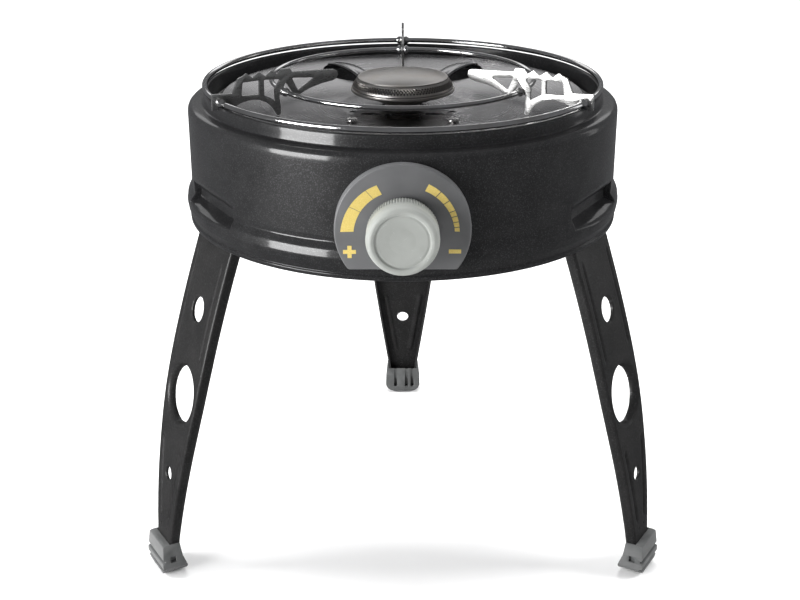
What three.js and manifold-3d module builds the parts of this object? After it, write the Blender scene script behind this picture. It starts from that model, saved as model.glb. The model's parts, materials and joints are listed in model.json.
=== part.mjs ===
// Portable propane burner stand: a round steel body with a gas burner, a wire pot stand
// with three toothed fins, a front control knob and three fold-under legs.
// Millimetres, +Z up, standing on its feet at z = 0, knob facing -Y.
import * as THREE from 'three';
import { mergeVertices } from 'three/addons/utils/BufferGeometryUtils.js';
import Module from 'manifold-3d';

const wasm = await Module();
wasm.setup();

// ---------------------------------------------------------------- driving dimensions

const GAP = 0.3;                 // space left between touching pieces
const SHEET = 1.0;               // body sheet
const ROUND = 48;                // sides of the large turned pieces

// body shell
const BODY_R = 151;
const LIP_Z = 244;
const LIP_R = 152.6;
const BEAD_R = 154.8;
const BEAD_Z = 257.5;
const CREASE_Z = 267.5;
const SHOULDER_Z = 326;
const SHOULDER_FILLET = 8.5;
const NECK_OUT_R = 139.9;
const NECK_IN_R = 136.5;
const NECK_TOP_Z = 335.2;
const LEDGE_Z = 321.3;
const LEDGE_R = 120;

// flat pads pressed into the wall at the legs
const PAD_X = 142.7;
const PAD_HALF = 33.7;
const PAD_LOW_Z = 264.5;
const PAD_HIGH_Z = 273;
const PAD_SLOPE_X = 20;          // how far out the slopes above and below a pad are drawn
const PAD_SLOPE_LOW_Z = 257;
const PAD_SLOPE_HIGH_Z = 287;

// reflector pan
const PAN_T = 0.9;
const PAN_Z = 319;
const PAN_RIM_R = 127.8;
const PAN_RIM_Z = 329;
const PAN_FLAT_R = 45;
const PAN_KNEE_R = 100;
const PAN_KNEE_Z = 324;
const PAN_HOLE_R = 15;
const HOOD_R = 94;
const HOOD_HEIGHT = 5;
const HOOD_HALF = 15;
const HOOD_LENGTH = 21;
const HOOD_TILT = 0.12;
const HOOD_TURN = 12;            // degrees between a hood's length and the radius
const HOOD_ANGLES = [-152, 152];
const PAN_SLOT = { x: 22, y: 25, halfLength: 7, halfWidth: 3 };
const PAN_WINDOW = { half: 12, front: -40, back: -26 };
const PAN_SCREW_R = 64;
const PAN_SCREW_ANGLES = { front_left: -32, front_right: 32, back: 180 };

// burner
const BURNER_R = 36.8;
const BURNER_FLANGE_Z = 331.2;
const CAP_R = 31.9;
const CAP_EDGE_Z = 339.4;
const CAP_TOP_Z = 343;
const STEM_R = 12;
const STEM_BORE = 8.5;
const STRAP_Z = 299.7;
const STRAP_T = 2;
const STRAP_HALF = 17;
const STRAP_DISC_R = 74;
const STRAP_HOLE_R = 11;
const STRAP_HOLE_AT_R = 44;
const STRAP_HOLE_ANGLES = [90, 145, 215, 270, 0];

// gas line on the knob's axis
const KNOB_Z = 279;
const MIX_R = 8;
const MIX_BORE = 6.5;
const MIX_BEND = 16;
const MIX_END_Y = -94;
const VALVE_BACK_Y = -112;
const VALVE_FRONT_Y = -138;
const BOSS_R = 7;
const SPINDLE_R = 3;
const INLET_X = 40;
const INLET_Y = -125;
const INLET_END_Z = 241;
const INLET_NUT_Z = 259;

// dial plate and knob
const DIAL_Y = -156.2;
const DIAL_R = 42.5;
const DIAL_FLAT_Z = 253.4;
const DIAL_SCREW_X = 30;
const KNOB_R = 22.6;
const KNOB_BACK_Y = -158.6;
const KNOB_FRONT_Y = -178.5;
const KNOB_RIBS = 24;

// pot stand
const OUTER_RING_R = 138.1;
const OUTER_WIRE_R = 2.2;
const OUTER_RING_Z = 337.7;
const INNER_RING_R = 91.9;
const INNER_WIRE_R = 2.0;
const INNER_RING_Z = 339.8;
const FIN_T = 1.8;
const FIN_TOP_Z = 355.3;

// legs and feet, in a frame with x outward from the burner's axis and y across the leg
const LEG_ANGLES = { front_left: -60, front_right: 60, back: 180 };
const LEG_TOP = new THREE.Vector2(147.5, 244);
const LEG_BOW = new THREE.Vector2(195.6, 106.6);
const LEG_END = new THREE.Vector2(202, 0);
const LEG_T = 1.5;
const LEG_DEPTH = 7.3;
const LEG_BOTTOM_Z = 5;
const LEG_TOP_Z = 256;
const LEG_HOLES = [{ radius: 9, z: 196 }, { radius: 20, z: 135.5 }, { radius: 5, z: 75.5 }];
const COLLAR_WALL = 1.8;         // thickness of the collar round the largest hole
const PIN_LEVEL = 252;
const PIN_INSET = 4;
const PIN_R = 2;
const PIN_HOLE_R = 2.4;
const EAR_T = 1.5;
const FOOT_OUT_X = 207;
const FOOT_IN_X = 188;
const FOOT_TOP_Z = 25.5;
const FOOT_HALF = 15.5;
const LEG_HALF = 28;              // half width of a leg at its hinge

// the whole object is centred between the knob's face and the back foot
const CENTRE_Y = -(FOOT_OUT_X + KNOB_FRONT_Y) / 2;

// ---------------------------------------------------------------- materials

const material = (color, roughness, metalness) =>
  new THREE.MeshStandardMaterial({ color, roughness, metalness });

const charcoalCoat = material(0x2c2c2e, 0.45, 0.4);
const chromeWire = material(0xc9cbcd, 0.18, 1.0);
const stainless = material(0xb9b9b6, 0.3, 1.0);
const panSteel = material(0x8e8d8c, 0.35, 0.95);
const burnerSteel = material(0xa39c92, 0.4, 0.9);
const brass = material(0xb08d57, 0.35, 1.0);
const zincSteel = material(0x9a9a9a, 0.4, 1.0);
const knobPlastic = material(0xacaeaa, 0.5, 0.0);
const dialPlastic = material(0x46464a, 0.6, 0.0);
const footRubber = material(0x6a6a6b, 0.8, 0.0);

// ---------------------------------------------------------------- solids and booleans

function solid(geometry) {
  const plain = geometry.index ? geometry.toNonIndexed() : geometry.clone();
  plain.deleteAttribute('normal');
  plain.deleteAttribute('uv');
  const merged = mergeVertices(plain, 1e-4);
  return new wasm.Manifold(new wasm.Mesh({
    numProp: 3,
    vertProperties: new Float32Array(merged.attributes.position.array),
    triVerts: new Uint32Array(merged.index.array),
  }));
}

function geometryOf(body) {
  const mesh = body.getMesh();
  const geometry = new THREE.BufferGeometry();
  geometry.setAttribute('position', new THREE.BufferAttribute(mesh.vertProperties, 3));
  geometry.setIndex(new THREE.BufferAttribute(mesh.triVerts, 1));
  return geometry;
}

const addAll = (first, ...others) => others.reduce((sum, other) => sum.add(other), first);
const cutAll = (first, ...others) => others.reduce((rest, other) => rest.subtract(other), first);

// ---------------------------------------------------------------- basic shapes

// a closed outline [[r, z], ...] turned about the Z axis
function turned(outline, sides = ROUND) {
  const points = outline.map(([r, z]) => new THREE.Vector2(r, z));
  points.push(points[0].clone());
  return new THREE.LatheGeometry(orderedForLathe(points), sides).rotateX(Math.PI / 2);
}

// the same, turned about the Y axis: [[r, y], ...]
function turnedFront(outline, sides = 32) {
  const points = outline.map(([r, y]) => new THREE.Vector2(r, y));
  points.push(points[0].clone());
  return new THREE.LatheGeometry(orderedForLathe(points), sides);
}

// a lathe's faces point outward when its outline runs counter-clockwise in (r, axis)
function orderedForLathe(points) {
  return THREE.ShapeUtils.area(points) > 0 ? points : points.reverse();
}

// a strip of sheet of thickness t on the left-hand side of an open line
function sheetOutline(line, t) {
  const inner = line.map((point, i) => {
    const before = line[Math.max(i - 1, 0)];
    const after = line[Math.min(i + 1, line.length - 1)];
    const a = unit(before === point ? after[0] - point[0] : point[0] - before[0],
      before === point ? after[1] - point[1] : point[1] - before[1]);
    const b = unit(after === point ? point[0] - before[0] : after[0] - point[0],
      after === point ? point[1] - before[1] : after[1] - point[1]);
    const mitre = t / (1 + a[0] * b[0] + a[1] * b[1]);
    return [point[0] - (a[1] + b[1]) * mitre, point[1] + (a[0] + b[0]) * mitre];
  });
  return [...line, ...inner.reverse()];
}

function unit(x, y) {
  const length = Math.hypot(x, y);
  return [x / length, y / length];
}

// points on an arc, angles in degrees, both ends included
function arc(cx, cy, radius, from, to, steps) {
  return Array.from({ length: steps + 1 }, (_, i) => {
    const angle = THREE.MathUtils.degToRad(from + (to - from) * i / steps);
    return [cx + radius * Math.cos(angle), cy + radius * Math.sin(angle)];
  });
}

function shapeOf(points) {
  return new THREE.Shape(points.map(([x, y]) => new THREE.Vector2(x, y)));
}

function holeOf(points) {
  return new THREE.Path(points.map(([x, y]) => new THREE.Vector2(x, y)));
}

// an outline in (x, z), given thickness across Y and centred on y = 0
function sidePlate(points, thickness, holes = []) {
  const shape = shapeOf(points);
  shape.holes = holes.map(holeOf);
  return new THREE.ExtrudeGeometry(shape, { depth: thickness, bevelEnabled: false })
    .translate(0, 0, -thickness / 2)
    .rotateX(Math.PI / 2);
}

// an outline in (y, z), extruded along X from x0 to x1
function frontPlate(points, x0, x1) {
  return new THREE.ExtrudeGeometry(shapeOf(points), { depth: x1 - x0, bevelEnabled: false })
    .translate(0, 0, x0)
    .rotateX(Math.PI / 2)
    .rotateZ(Math.PI / 2);
}

function box(x0, x1, y0, y1, z0, z1) {
  return new THREE.BoxGeometry(x1 - x0, y1 - y0, z1 - z0)
    .translate((x0 + x1) / 2, (y0 + y1) / 2, (z0 + z1) / 2);
}

function rodX(radius, x0, x1, y, z, sides = 16) {
  return new THREE.CylinderGeometry(radius, radius, x1 - x0, sides)
    .rotateZ(Math.PI / 2).translate((x0 + x1) / 2, y, z);
}

function rodY(radius, x, y0, y1, z, sides = 16) {
  return new THREE.CylinderGeometry(radius, radius, y1 - y0, sides)
    .translate(x, (y0 + y1) / 2, z);
}

function rodZ(radius, x, y, z0, z1, sides = 16) {
  return new THREE.CylinderGeometry(radius, radius, z1 - z0, sides)
    .rotateX(Math.PI / 2).translate(x, y, (z0 + z1) / 2);
}

// turns something built along +X to face a bearing: 0 is the knob's side (-Y)
const bearing = (degrees) => THREE.MathUtils.degToRad(degrees - 90);

// ---------------------------------------------------------------- the object

const root = new THREE.Group();
root.position.y = CENTRE_Y;

function place(name, shape, finish, parent = root) {
  const geometry = shape.isBufferGeometry ? shape : geometryOf(shape);
  const mesh = new THREE.Mesh(geometry, finish.clone());
  mesh.name = name;
  parent.add(mesh);
}

// ---- body shell

// the outside of the body, from the lip up over the shoulder and down to the pan's ledge
function shellLine() {
  const neckMid = (NECK_OUT_R + NECK_IN_R) / 2;
  const neckRound = (NECK_OUT_R - NECK_IN_R) / 2;
  const filletR = BODY_R - SHOULDER_FILLET;
  return [
    [LIP_R - 1, LIP_Z],
    [LIP_R, LIP_Z + 2],
    [BEAD_R - 0.6, BEAD_Z - 4],
    [BEAD_R, BEAD_Z],
    [BEAD_R - 0.8, BEAD_Z + 4.5],
    [BODY_R - 0.4, CREASE_Z],
    [BODY_R, CREASE_Z + 3],
    ...arc(filletR, SHOULDER_Z - SHOULDER_FILLET, SHOULDER_FILLET, 0, 90, 2),
    [NECK_OUT_R, SHOULDER_Z + 1],
    ...arc(neckMid, NECK_TOP_Z - neckRound, neckRound, 0, 180, 3),
    [NECK_IN_R, LEDGE_Z],
    [LEDGE_R, LEDGE_Z],
  ];
}

// everything inside the body's outer surface, grown by a margin
function bodyEnvelope(margin) {
  const wall = shellLine().filter(([r]) => r > NECK_OUT_R);
  const grown = wall.map(([r, z]) => [r + margin, z]);
  return solid(turned([[0, LIP_Z], ...grown, [0, SHOULDER_Z]]));
}

// the wedge pressed out of the wall for one pad, grown by the sheet for its back
function padWedge(grow) {
  const outline = [
    [PAD_X - grow, PAD_LOW_Z - grow],
    [PAD_X + PAD_SLOPE_X, PAD_SLOPE_LOW_Z - grow],
    [PAD_X + PAD_SLOPE_X, PAD_SLOPE_HIGH_Z + grow],
    [PAD_X - grow, PAD_HIGH_Z + grow],
  ];
  return solid(sidePlate(outline, 2 * (PAD_HALF + grow)));
}

function bodyShell() {
  let shell = solid(turned(sheetOutline(shellLine(), SHEET)));
  const filled = bodyEnvelope(0);
  for (const degrees of Object.values(LEG_ANGLES)) {
    const turn = [0, 0, degrees - 90];
    const pressed = padWedge(0).rotate(turn);
    const skin = padWedge(SHEET).rotate(turn).intersect(filled).subtract(pressed);
    shell = shell.subtract(pressed).add(skin);
  }
  const bossHole = rodY(BOSS_R + 0.6, 0, -160, -140, KNOB_Z, 24);
  const screwHoles = [-1, 1].map((side) =>
    solid(rodY(2, side * DIAL_SCREW_X, -156, -140, KNOB_Z, 12)));
  return cutAll(shell, solid(bossHole), ...screwHoles);
}

// ---- reflector pan

function panTop(r) {
  const rise = (from, to, low, high) =>
    low + (high - low) * THREE.MathUtils.clamp((r - from) / (to - from), 0, 1);
  return r < PAN_KNEE_R ? rise(PAN_FLAT_R, PAN_KNEE_R, PAN_Z, PAN_KNEE_Z)
    : rise(PAN_KNEE_R, PAN_RIM_R - 3, PAN_KNEE_Z, PAN_RIM_Z - 0.4);
}

function panLine() {
  return [
    [PAN_RIM_R, LEDGE_Z + GAP],
    [PAN_RIM_R, PAN_RIM_Z - 1.4],
    [PAN_RIM_R - 0.8, PAN_RIM_Z - 0.3],
    [PAN_RIM_R - 2, PAN_RIM_Z],
    [PAN_RIM_R - 3.4, panTop(PAN_RIM_R - 3.4)],
    [PAN_KNEE_R, PAN_KNEE_Z],
    [PAN_FLAT_R, PAN_Z],
    [PAN_HOLE_R, PAN_Z],
  ];
}

// pressed air hoods: each a shallow half dome along the radius, open on its forward side
function panHoods(pan) {
  const ball = (grow) => solid(new THREE.SphereGeometry(1, 14, 8)
    .rotateX(Math.PI / 2)
    .scale(HOOD_LENGTH + grow, HOOD_HALF + grow, HOOD_HEIGHT + grow));
  let result = pan;
  for (const degrees of HOOD_ANGLES) {
    const side = Math.sign(degrees);
    const rear = solid(box(-40, 40, 0, 40, -PAN_T, 20).rotateZ(side > 0 ? 0 : Math.PI));
    const dome = ball(PAN_T).intersect(rear).subtract(ball(0));
    const put = (piece) => piece
      .rotate([0, 0, -side * HOOD_TURN])
      .rotate([0, THREE.MathUtils.radToDeg(-HOOD_TILT), 0])
      .translate([HOOD_R, 0, panTop(HOOD_R)])
      .rotate([0, 0, degrees - 90]);
    result = cutAll(result, put(ball(0))).add(put(dome));
  }
  return result;
}

function reflectorPan() {
  let pan = solid(turned(sheetOutline(panLine(), PAN_T)));
  pan = panHoods(pan);
  const { half, front, back } = PAN_WINDOW;
  const cuts = [solid(box(-half, half, front, back, PAN_Z - 9, PAN_Z + 6))];
  for (const sideX of [-1, 1]) {
    for (const sideY of [-1, 1]) {
      const slot = new THREE.CylinderGeometry(1, 1, 12, 10).rotateX(Math.PI / 2);
      cuts.push(solid(slot.scale(PAN_SLOT.halfLength, PAN_SLOT.halfWidth, 1)
        .translate(sideX * PAN_SLOT.x, sideY * PAN_SLOT.y, PAN_Z)));
    }
  }
  for (const degrees of Object.values(PAN_SCREW_ANGLES)) {
    cuts.push(solid(rodZ(2.4, 0, 0, 310, 330, 8)
      .translate(PAN_SCREW_R, 0, 0).rotateZ(bearing(degrees))));
  }
  return cutAll(pan, ...cuts);
}

// ---- burner

function burnerBase() {
  const z = BURNER_FLANGE_Z;
  return turned([
    [STEM_BORE, STRAP_Z - 6],
    [STEM_R, STRAP_Z - 6],
    [STEM_R, STRAP_Z + GAP],
    [17, STRAP_Z + GAP],
    [17, STRAP_Z + 2.5],
    [STEM_R, STRAP_Z + 2.5],
    [STEM_R, PAN_Z + 2],
    [30, z - 3.2],
    [35.6, z - 1.3],
    [BURNER_R, z - 0.4],
    [BURNER_R, z + 0.6],
    [BURNER_R - 0.8, z + 1.1],
    [34.2, z + 0.4],
    [29, z - 1.6],
    [STEM_BORE, PAN_Z + 4],
  ], 30);
}

function portBand() {
  const z = BURNER_FLANGE_Z + 1.4;
  return turned([[35.9, z], [CAP_R + 0.2, CAP_EDGE_Z - 0.4], [CAP_R - 0.9, CAP_EDGE_Z - 0.4],
    [34.8, z]], 30);
}

function burnerCap() {
  const rise = CAP_TOP_Z - CAP_EDGE_Z;
  const dome = (radius, lift) => Array.from({ length: 6 }, (_, i) => {
    const part = i / 5;
    return [radius * (1 - part), CAP_EDGE_Z + lift + rise * (1 - (1 - part) ** 2.2)];
  });
  return turned([...dome(CAP_R, 0), ...dome(CAP_R - 1.6, -1).reverse(),
    [CAP_R - 1.6, CAP_EDGE_Z - 0.1], [CAP_R, CAP_EDGE_Z - 0.1]], 30);
}

// cross strap and round plate that carry the burner inside the body
function burnerStrap() {
  const low = STRAP_Z - STRAP_T;
  const reach = BODY_R - SHEET - GAP;
  const bar = solid(box(-reach, reach, -STRAP_HALF, STRAP_HALF, low, STRAP_Z));
  const inside = solid(rodZ(reach, 0, 0, low - 20, STRAP_Z + 1, ROUND));
  const ring = solid(turned([[reach - 1.8, low - 12], [reach, low - 12], [reach, low + 1],
    [reach - 1.8, low + 1]]));
  const band = solid(box(-160, 160, -STRAP_HALF, STRAP_HALF, low - 20, STRAP_Z));
  const disc = solid(rodZ(STRAP_DISC_R, 0, 0, low, STRAP_Z, 36));
  const holes = [solid(rodZ(STEM_R + 0.5, 0, 0, low - 5, STRAP_Z + 5, 24))];
  for (const degrees of Object.values(PAN_SCREW_ANGLES)) {
    holes.push(solid(rodZ(2.4, 0, 0, low - 5, STRAP_Z + 5, 12)
      .translate(PAN_SCREW_R, 0, 0).rotateZ(bearing(degrees))));
  }
  for (const degrees of STRAP_HOLE_ANGLES) {
    holes.push(solid(rodZ(STRAP_HOLE_R, 0, 0, low - 5, STRAP_Z + 5, 12)
      .translate(STRAP_HOLE_AT_R, 0, 0).rotateZ(bearing(degrees))));
  }
  return cutAll(addAll(bar.intersect(inside), ring.intersect(band), disc), ...holes);
}

function panPost() {
  const top = panTop(PAN_SCREW_R) - PAN_T - 2 * GAP;
  const outline = [[2.6, STRAP_Z + GAP], [4.5, STRAP_Z + GAP], [4.5, top], [2.6, top]];
  return turned(outline, 12).translate(PAN_SCREW_R, 0, 0);
}

function panScrew() {
  const seat = panTop(PAN_SCREW_R) + 0.9;
  const end = STRAP_Z - STRAP_T - 3;
  return turned([[0, end], [1.9, end], [1.9, seat], [4.2, seat], [3.9, seat + 1.2],
    [0, seat + 2.2]], 10).translate(PAN_SCREW_R, 0, 0);
}

// ---- gas line

function mixingTube() {
  const path = new THREE.CurvePath();
  const top = new THREE.Vector3(0, 0, BURNER_FLANGE_Z - 14);
  const bendStart = new THREE.Vector3(0, 0, KNOB_Z + MIX_BEND);
  const corner = new THREE.Vector3(0, 0, KNOB_Z);
  const bendEnd = new THREE.Vector3(0, -MIX_BEND, KNOB_Z);
  const mouth = new THREE.Vector3(0, MIX_END_Y, KNOB_Z);
  path.add(new THREE.LineCurve3(top, bendStart));
  path.add(new THREE.QuadraticBezierCurve3(bendStart, corner, bendEnd));
  path.add(new THREE.LineCurve3(bendEnd, mouth));
  const section = shapeOf(arc(0, 0, MIX_R, 0, 324, 9));
  section.holes = [holeOf(arc(0, 0, MIX_BORE, 0, 324, 9))];
  return new THREE.ExtrudeGeometry(section, { steps: 12, extrudePath: path, bevelEnabled: false });
}

function gasJet() {
  const y = VALVE_BACK_Y + GAP;
  return turnedFront([[0.8, y], [5.4, y], [5.4, y + 4], [3.6, y + 4.6], [3.2, y + 10],
    [2, y + 11.5], [0.8, y + 11.5]], 6);
}

function valveBody() {
  const block = solid(box(-10, 10, VALVE_FRONT_Y, VALVE_BACK_Y, KNOB_Z - 10, KNOB_Z + 10));
  const shoulder = solid(rodY(9.5, 0, -149, VALVE_FRONT_Y + 1, KNOB_Z, 16));
  const boss = solid(rodY(BOSS_R, 0, -160.5, -140, KNOB_Z, 24));
  const bore = solid(rodY(SPINDLE_R + GAP, 0, -165, VALVE_FRONT_Y + 8, KNOB_Z, 20));
  const outlet = solid(rodY(1, 0, VALVE_FRONT_Y + 7, VALVE_BACK_Y + 2, KNOB_Z, 8));
  return cutAll(addAll(block, shoulder, boss), bore, outlet);
}

// a six-sided nut standing on z = 0
function hexNut(corner, bore, height) {
  const hex = solid(rodZ(corner, 0, 0, 0, height, 6));
  return hex.subtract(solid(rodZ(bore, 0, 0, -1, height + 1, 16)));
}

// nut on the valve's boss, in front of the dial plate and inside the knob
function valveNut() {
  return hexNut(10.5, BOSS_R + GAP, 3)
    .rotate([90, 0, 0])
    .translate([0, DIAL_Y - GAP, KNOB_Z]);
}

function valveSpindle() {
  const stem = solid(rodY(SPINDLE_R, 0, -171, VALVE_FRONT_Y + 7.4, KNOB_Z, 20));
  const flat = solid(box(SPINDLE_R - 1, 10, -180, -162, KNOB_Z - 5, KNOB_Z + 5));
  return stem.subtract(flat);
}

function inletPipe() {
  const path = new THREE.CurvePath();
  const start = new THREE.Vector3(10 + GAP, INLET_Y, KNOB_Z);
  const bendStart = new THREE.Vector3(INLET_X - 12, INLET_Y, KNOB_Z);
  const corner = new THREE.Vector3(INLET_X, INLET_Y, KNOB_Z);
  const bendEnd = new THREE.Vector3(INLET_X, INLET_Y, KNOB_Z - 12);
  const end = new THREE.Vector3(INLET_X, INLET_Y, INLET_NUT_Z);
  path.add(new THREE.LineCurve3(start, bendStart));
  path.add(new THREE.QuadraticBezierCurve3(bendStart, corner, bendEnd));
  path.add(new THREE.LineCurve3(bendEnd, end));
  const section = shapeOf(arc(0, 0, 4, 0, 315, 7));
  section.holes = [holeOf(arc(0, 0, 2.6, 0, 315, 7))];
  return new THREE.ExtrudeGeometry(section, { steps: 9, extrudePath: path, bevelEnabled: false });
}

function inletNut() {
  return hexNut(9.4, 4.5, 7).translate([INLET_X, INLET_Y, INLET_NUT_Z]);
}

function hoseTail() {
  const top = INLET_NUT_Z - GAP;
  const barbs = [];
  for (let z = INLET_END_Z; z < INLET_END_Z + 9; z += 4.5) {
    barbs.push([3.6, z], [4.5, z + 3.4]);
  }
  return turned([[2.4, INLET_END_Z], ...barbs, [3.8, INLET_END_Z + 9.5], [3.8, top - 5],
    [7, top - 5], [7, top], [2.4, top]], 12).translate(INLET_X, INLET_Y, 0);
}

// ---- dial plate and knob

function dialPlate() {
  const flatAngle = THREE.MathUtils.radToDeg(Math.asin((KNOB_Z - DIAL_FLAT_Z) / DIAL_R));
  const outline = arc(0, KNOB_Z, DIAL_R, -flatAngle, 180 + flatAngle, 44);
  const block = solid(sidePlate(outline, 20).translate(0, DIAL_Y + 10, 0));
  const screwHoles = [-1, 1].map((side) =>
    solid(rodY(1.9, side * DIAL_SCREW_X, DIAL_Y + 2, -140, KNOB_Z, 12)));
  const bossHole = solid(rodY(BOSS_R + 0.6, 0, -160, -140, KNOB_Z, 24));
  return cutAll(block, bodyEnvelope(GAP), bossHole, ...screwHoles);
}

function dialScrew(side) {
  return turnedFront([[0, DIAL_Y + 3], [1.5, DIAL_Y + 3], [1.5, -145.2], [3.3, -145.2],
    [3.1, -143.4], [0, -143.2]], 10).translate(side * DIAL_SCREW_X, 0, KNOB_Z);
}

function controlKnob() {
  const back = KNOB_BACK_Y;
  const front = KNOB_FRONT_Y;
  const body = solid(turnedFront([
    [0, -171.6], [SPINDLE_R + GAP, -171.6], [SPINDLE_R + GAP, -162.4],
    [7, -162.4], [7, -168], [18.4, -168], [19.4, back], [KNOB_R, back],
    [KNOB_R, front + 3.6], [KNOB_R - 0.7, front + 1.2], [KNOB_R - 2, front],
    [18.6, front], [17.2, front + 1.4], [0, front + 2],
  ], 24).translate(0, 0, KNOB_Z));
  const grip = [];
  for (let i = 0; i < KNOB_RIBS; i += 1) {
    const at = (part) => 2 * Math.PI * (i + part) / KNOB_RIBS;
    for (const [part, radius] of [[0, KNOB_R + 0.1], [0.5, KNOB_R + 0.1], [0.6, KNOB_R - 0.6],
      [0.9, KNOB_R - 0.6]]) {
      grip.push([radius * Math.cos(at(part)), KNOB_Z + radius * Math.sin(at(part))]);
    }
  }
  return body.intersect(solid(sidePlate(grip, 60).translate(0, front + 10, 0)));
}

// ---- pot stand

function wireRing(radius, wire, z) {
  return new THREE.TorusGeometry(radius, wire, 6, 60).translate(0, 0, z);
}

// one toothed fin, drawn in (distance from the axis, height)
function finOutline() {
  const top = FIN_TOP_Z;
  const notch = arc(OUTER_RING_R, OUTER_RING_Z, OUTER_WIRE_R + 0.4, 180, 0, 6);
  return [
    [144.6, 333.2], [144.6, 344.1], [129.6, 342.8],
    [125.3, 352.2], [119.3, top - 0.4], [114.7, top - 2.5], [110.1, top - 0.4],
    [105.4, top - 2.5], [100.8, top - 0.4], [96.8, top - 2.5], [94, top],
    [87.6, top], [86.2, 352.6], [54.5, 351], [52.2, 349.6], [51.6, 347], [53, 344.4],
    [56, 343.3], [64, 342.4], [73, 340.2], [80, 337.2], [83.8, 335.2],
    [91, 346.2], [95.9, 338], [95.2, 325.8], [96.2, 324.4], [97.8, 324.4], [99, 326],
    [101.5, 330.4], [105.5, 334], [111, 336.6], [117, 337.2], [124, 336], [130.5, 333.2],
    [OUTER_RING_R - OUTER_WIRE_R - 0.4, 333.2], ...notch,
    [OUTER_RING_R + OUTER_WIRE_R + 0.4, 333.2],
  ];
}

const FIN_WINDOWS = [
  [[122.3, 349.4], [110.3, 349.6], [110.6, 340.2], [123.6, 340.8]],
  [[107, 349.6], [95, 348.6], [99.2, 342.6], [99.2, 334.6], [103, 337], [107, 339.2]],
  [[86.4, 348.6], [69.6, 347], [82.2, 339.8]],
];

function potFin() {
  return sidePlate(finOutline(), FIN_T, FIN_WINDOWS);
}

// ---- legs

function legPoint(z) {
  if (z >= LEG_TOP.y) {
    const slope = (LEG_BOW.x - LEG_TOP.x) / (LEG_BOW.y - LEG_TOP.y);
    return new THREE.Vector2(LEG_TOP.x + (z - LEG_TOP.y) * slope, z);
  }
  const a = LEG_TOP.y - 2 * LEG_BOW.y + LEG_END.y;
  const b = 2 * (LEG_BOW.y - LEG_TOP.y);
  const c = LEG_TOP.y - z;
  const t = 2 * c / (-b + Math.sqrt(b * b - 4 * a * c));
  return new THREE.QuadraticBezierCurve(LEG_TOP, LEG_BOW, LEG_END).getPoint(t);
}

// the leg's face in (x, z), moved inward by an inset measured square to it
function legFace(inset, levels) {
  return levels.map((z) => {
    const here = legPoint(z);
    const along = legPoint(z - 1).sub(legPoint(z + 1)).normalize();
    return [here.x + along.y * inset, here.y - along.x * inset];
  });
}

const LEG_LEVELS = [LEG_TOP_Z, 244, 195, 150, 110, 75, 40, LEG_BOTTOM_Z];

// half width of the leg by height, on its outer face
const LEG_WIDTHS = [[260, LEG_HALF], [160, LEG_HALF], [135, 27.2], [113, 25], [78, 20.3], [53, 16.7],
  [34, 13.8], [26, 12.5], [0, 12.2]];

function legBar(outset, inset, margin, levels) {
  const outline = [...legFace(-outset, levels), ...legFace(inset, levels).reverse()];
  const side = solid(sidePlate(outline, 90));
  const right = LEG_WIDTHS.map(([z, half]) => [half + margin, z]);
  const left = LEG_WIDTHS.map(([z, half]) => [-half - margin, z]).reverse();
  return side.intersect(solid(frontPlate([...right, ...left], 100, 240)));
}

const pinCentre = (() => {
  const [x, z] = legFace(PIN_INSET, [PIN_LEVEL])[0];
  return { x, z };
})();

// a round hole bored square to the leg's face at height z
function legBore(radius, z, from, to, sides) {
  const centre = legPoint(z);
  const along = legPoint(z - 1).sub(legPoint(z + 1));
  const tilt = Math.atan2(along.x, -along.y);
  return solid(rodX(radius, from, to, 0, 0, sides).rotateY(-tilt)
    .translate(centre.x, 0, centre.y));
}

function legPlate() {
  const beyond = [LEG_TOP_Z + 6, ...LEG_LEVELS.slice(1, -1), LEG_BOTTOM_Z - 6];
  const outer = legBar(0, LEG_DEPTH, 0, LEG_LEVELS);
  const hollow = legBar(-LEG_T, LEG_DEPTH + 5, -LEG_T, beyond);
  const largest = LEG_HOLES[1];
  const collar = legBore(largest.radius + COLLAR_WALL, largest.z, -4.5, -0.5, 20);
  const holes = LEG_HOLES.map(({ radius, z }) => legBore(radius, z, -20, 20, radius > 10 ? 20 : 12));
  const pinHoles = solid(rodY(PIN_HOLE_R, pinCentre.x, -40, 40, pinCentre.z, 10));
  const channel = addAll(outer.subtract(hollow), collar);
  const knuckle = solid(sidePlate([
    ...arc(pinCentre.x, pinCentre.z, 5, 20, 200, 8), [pinCentre.x - 30, pinCentre.z],
    [pinCentre.x - 30, pinCentre.z + 20], [pinCentre.x + 30, pinCentre.z + 20],
    [pinCentre.x + 30, pinCentre.z],
  ], 90));
  return cutAll(channel, knuckle, pinHoles, ...holes);
}

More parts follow.
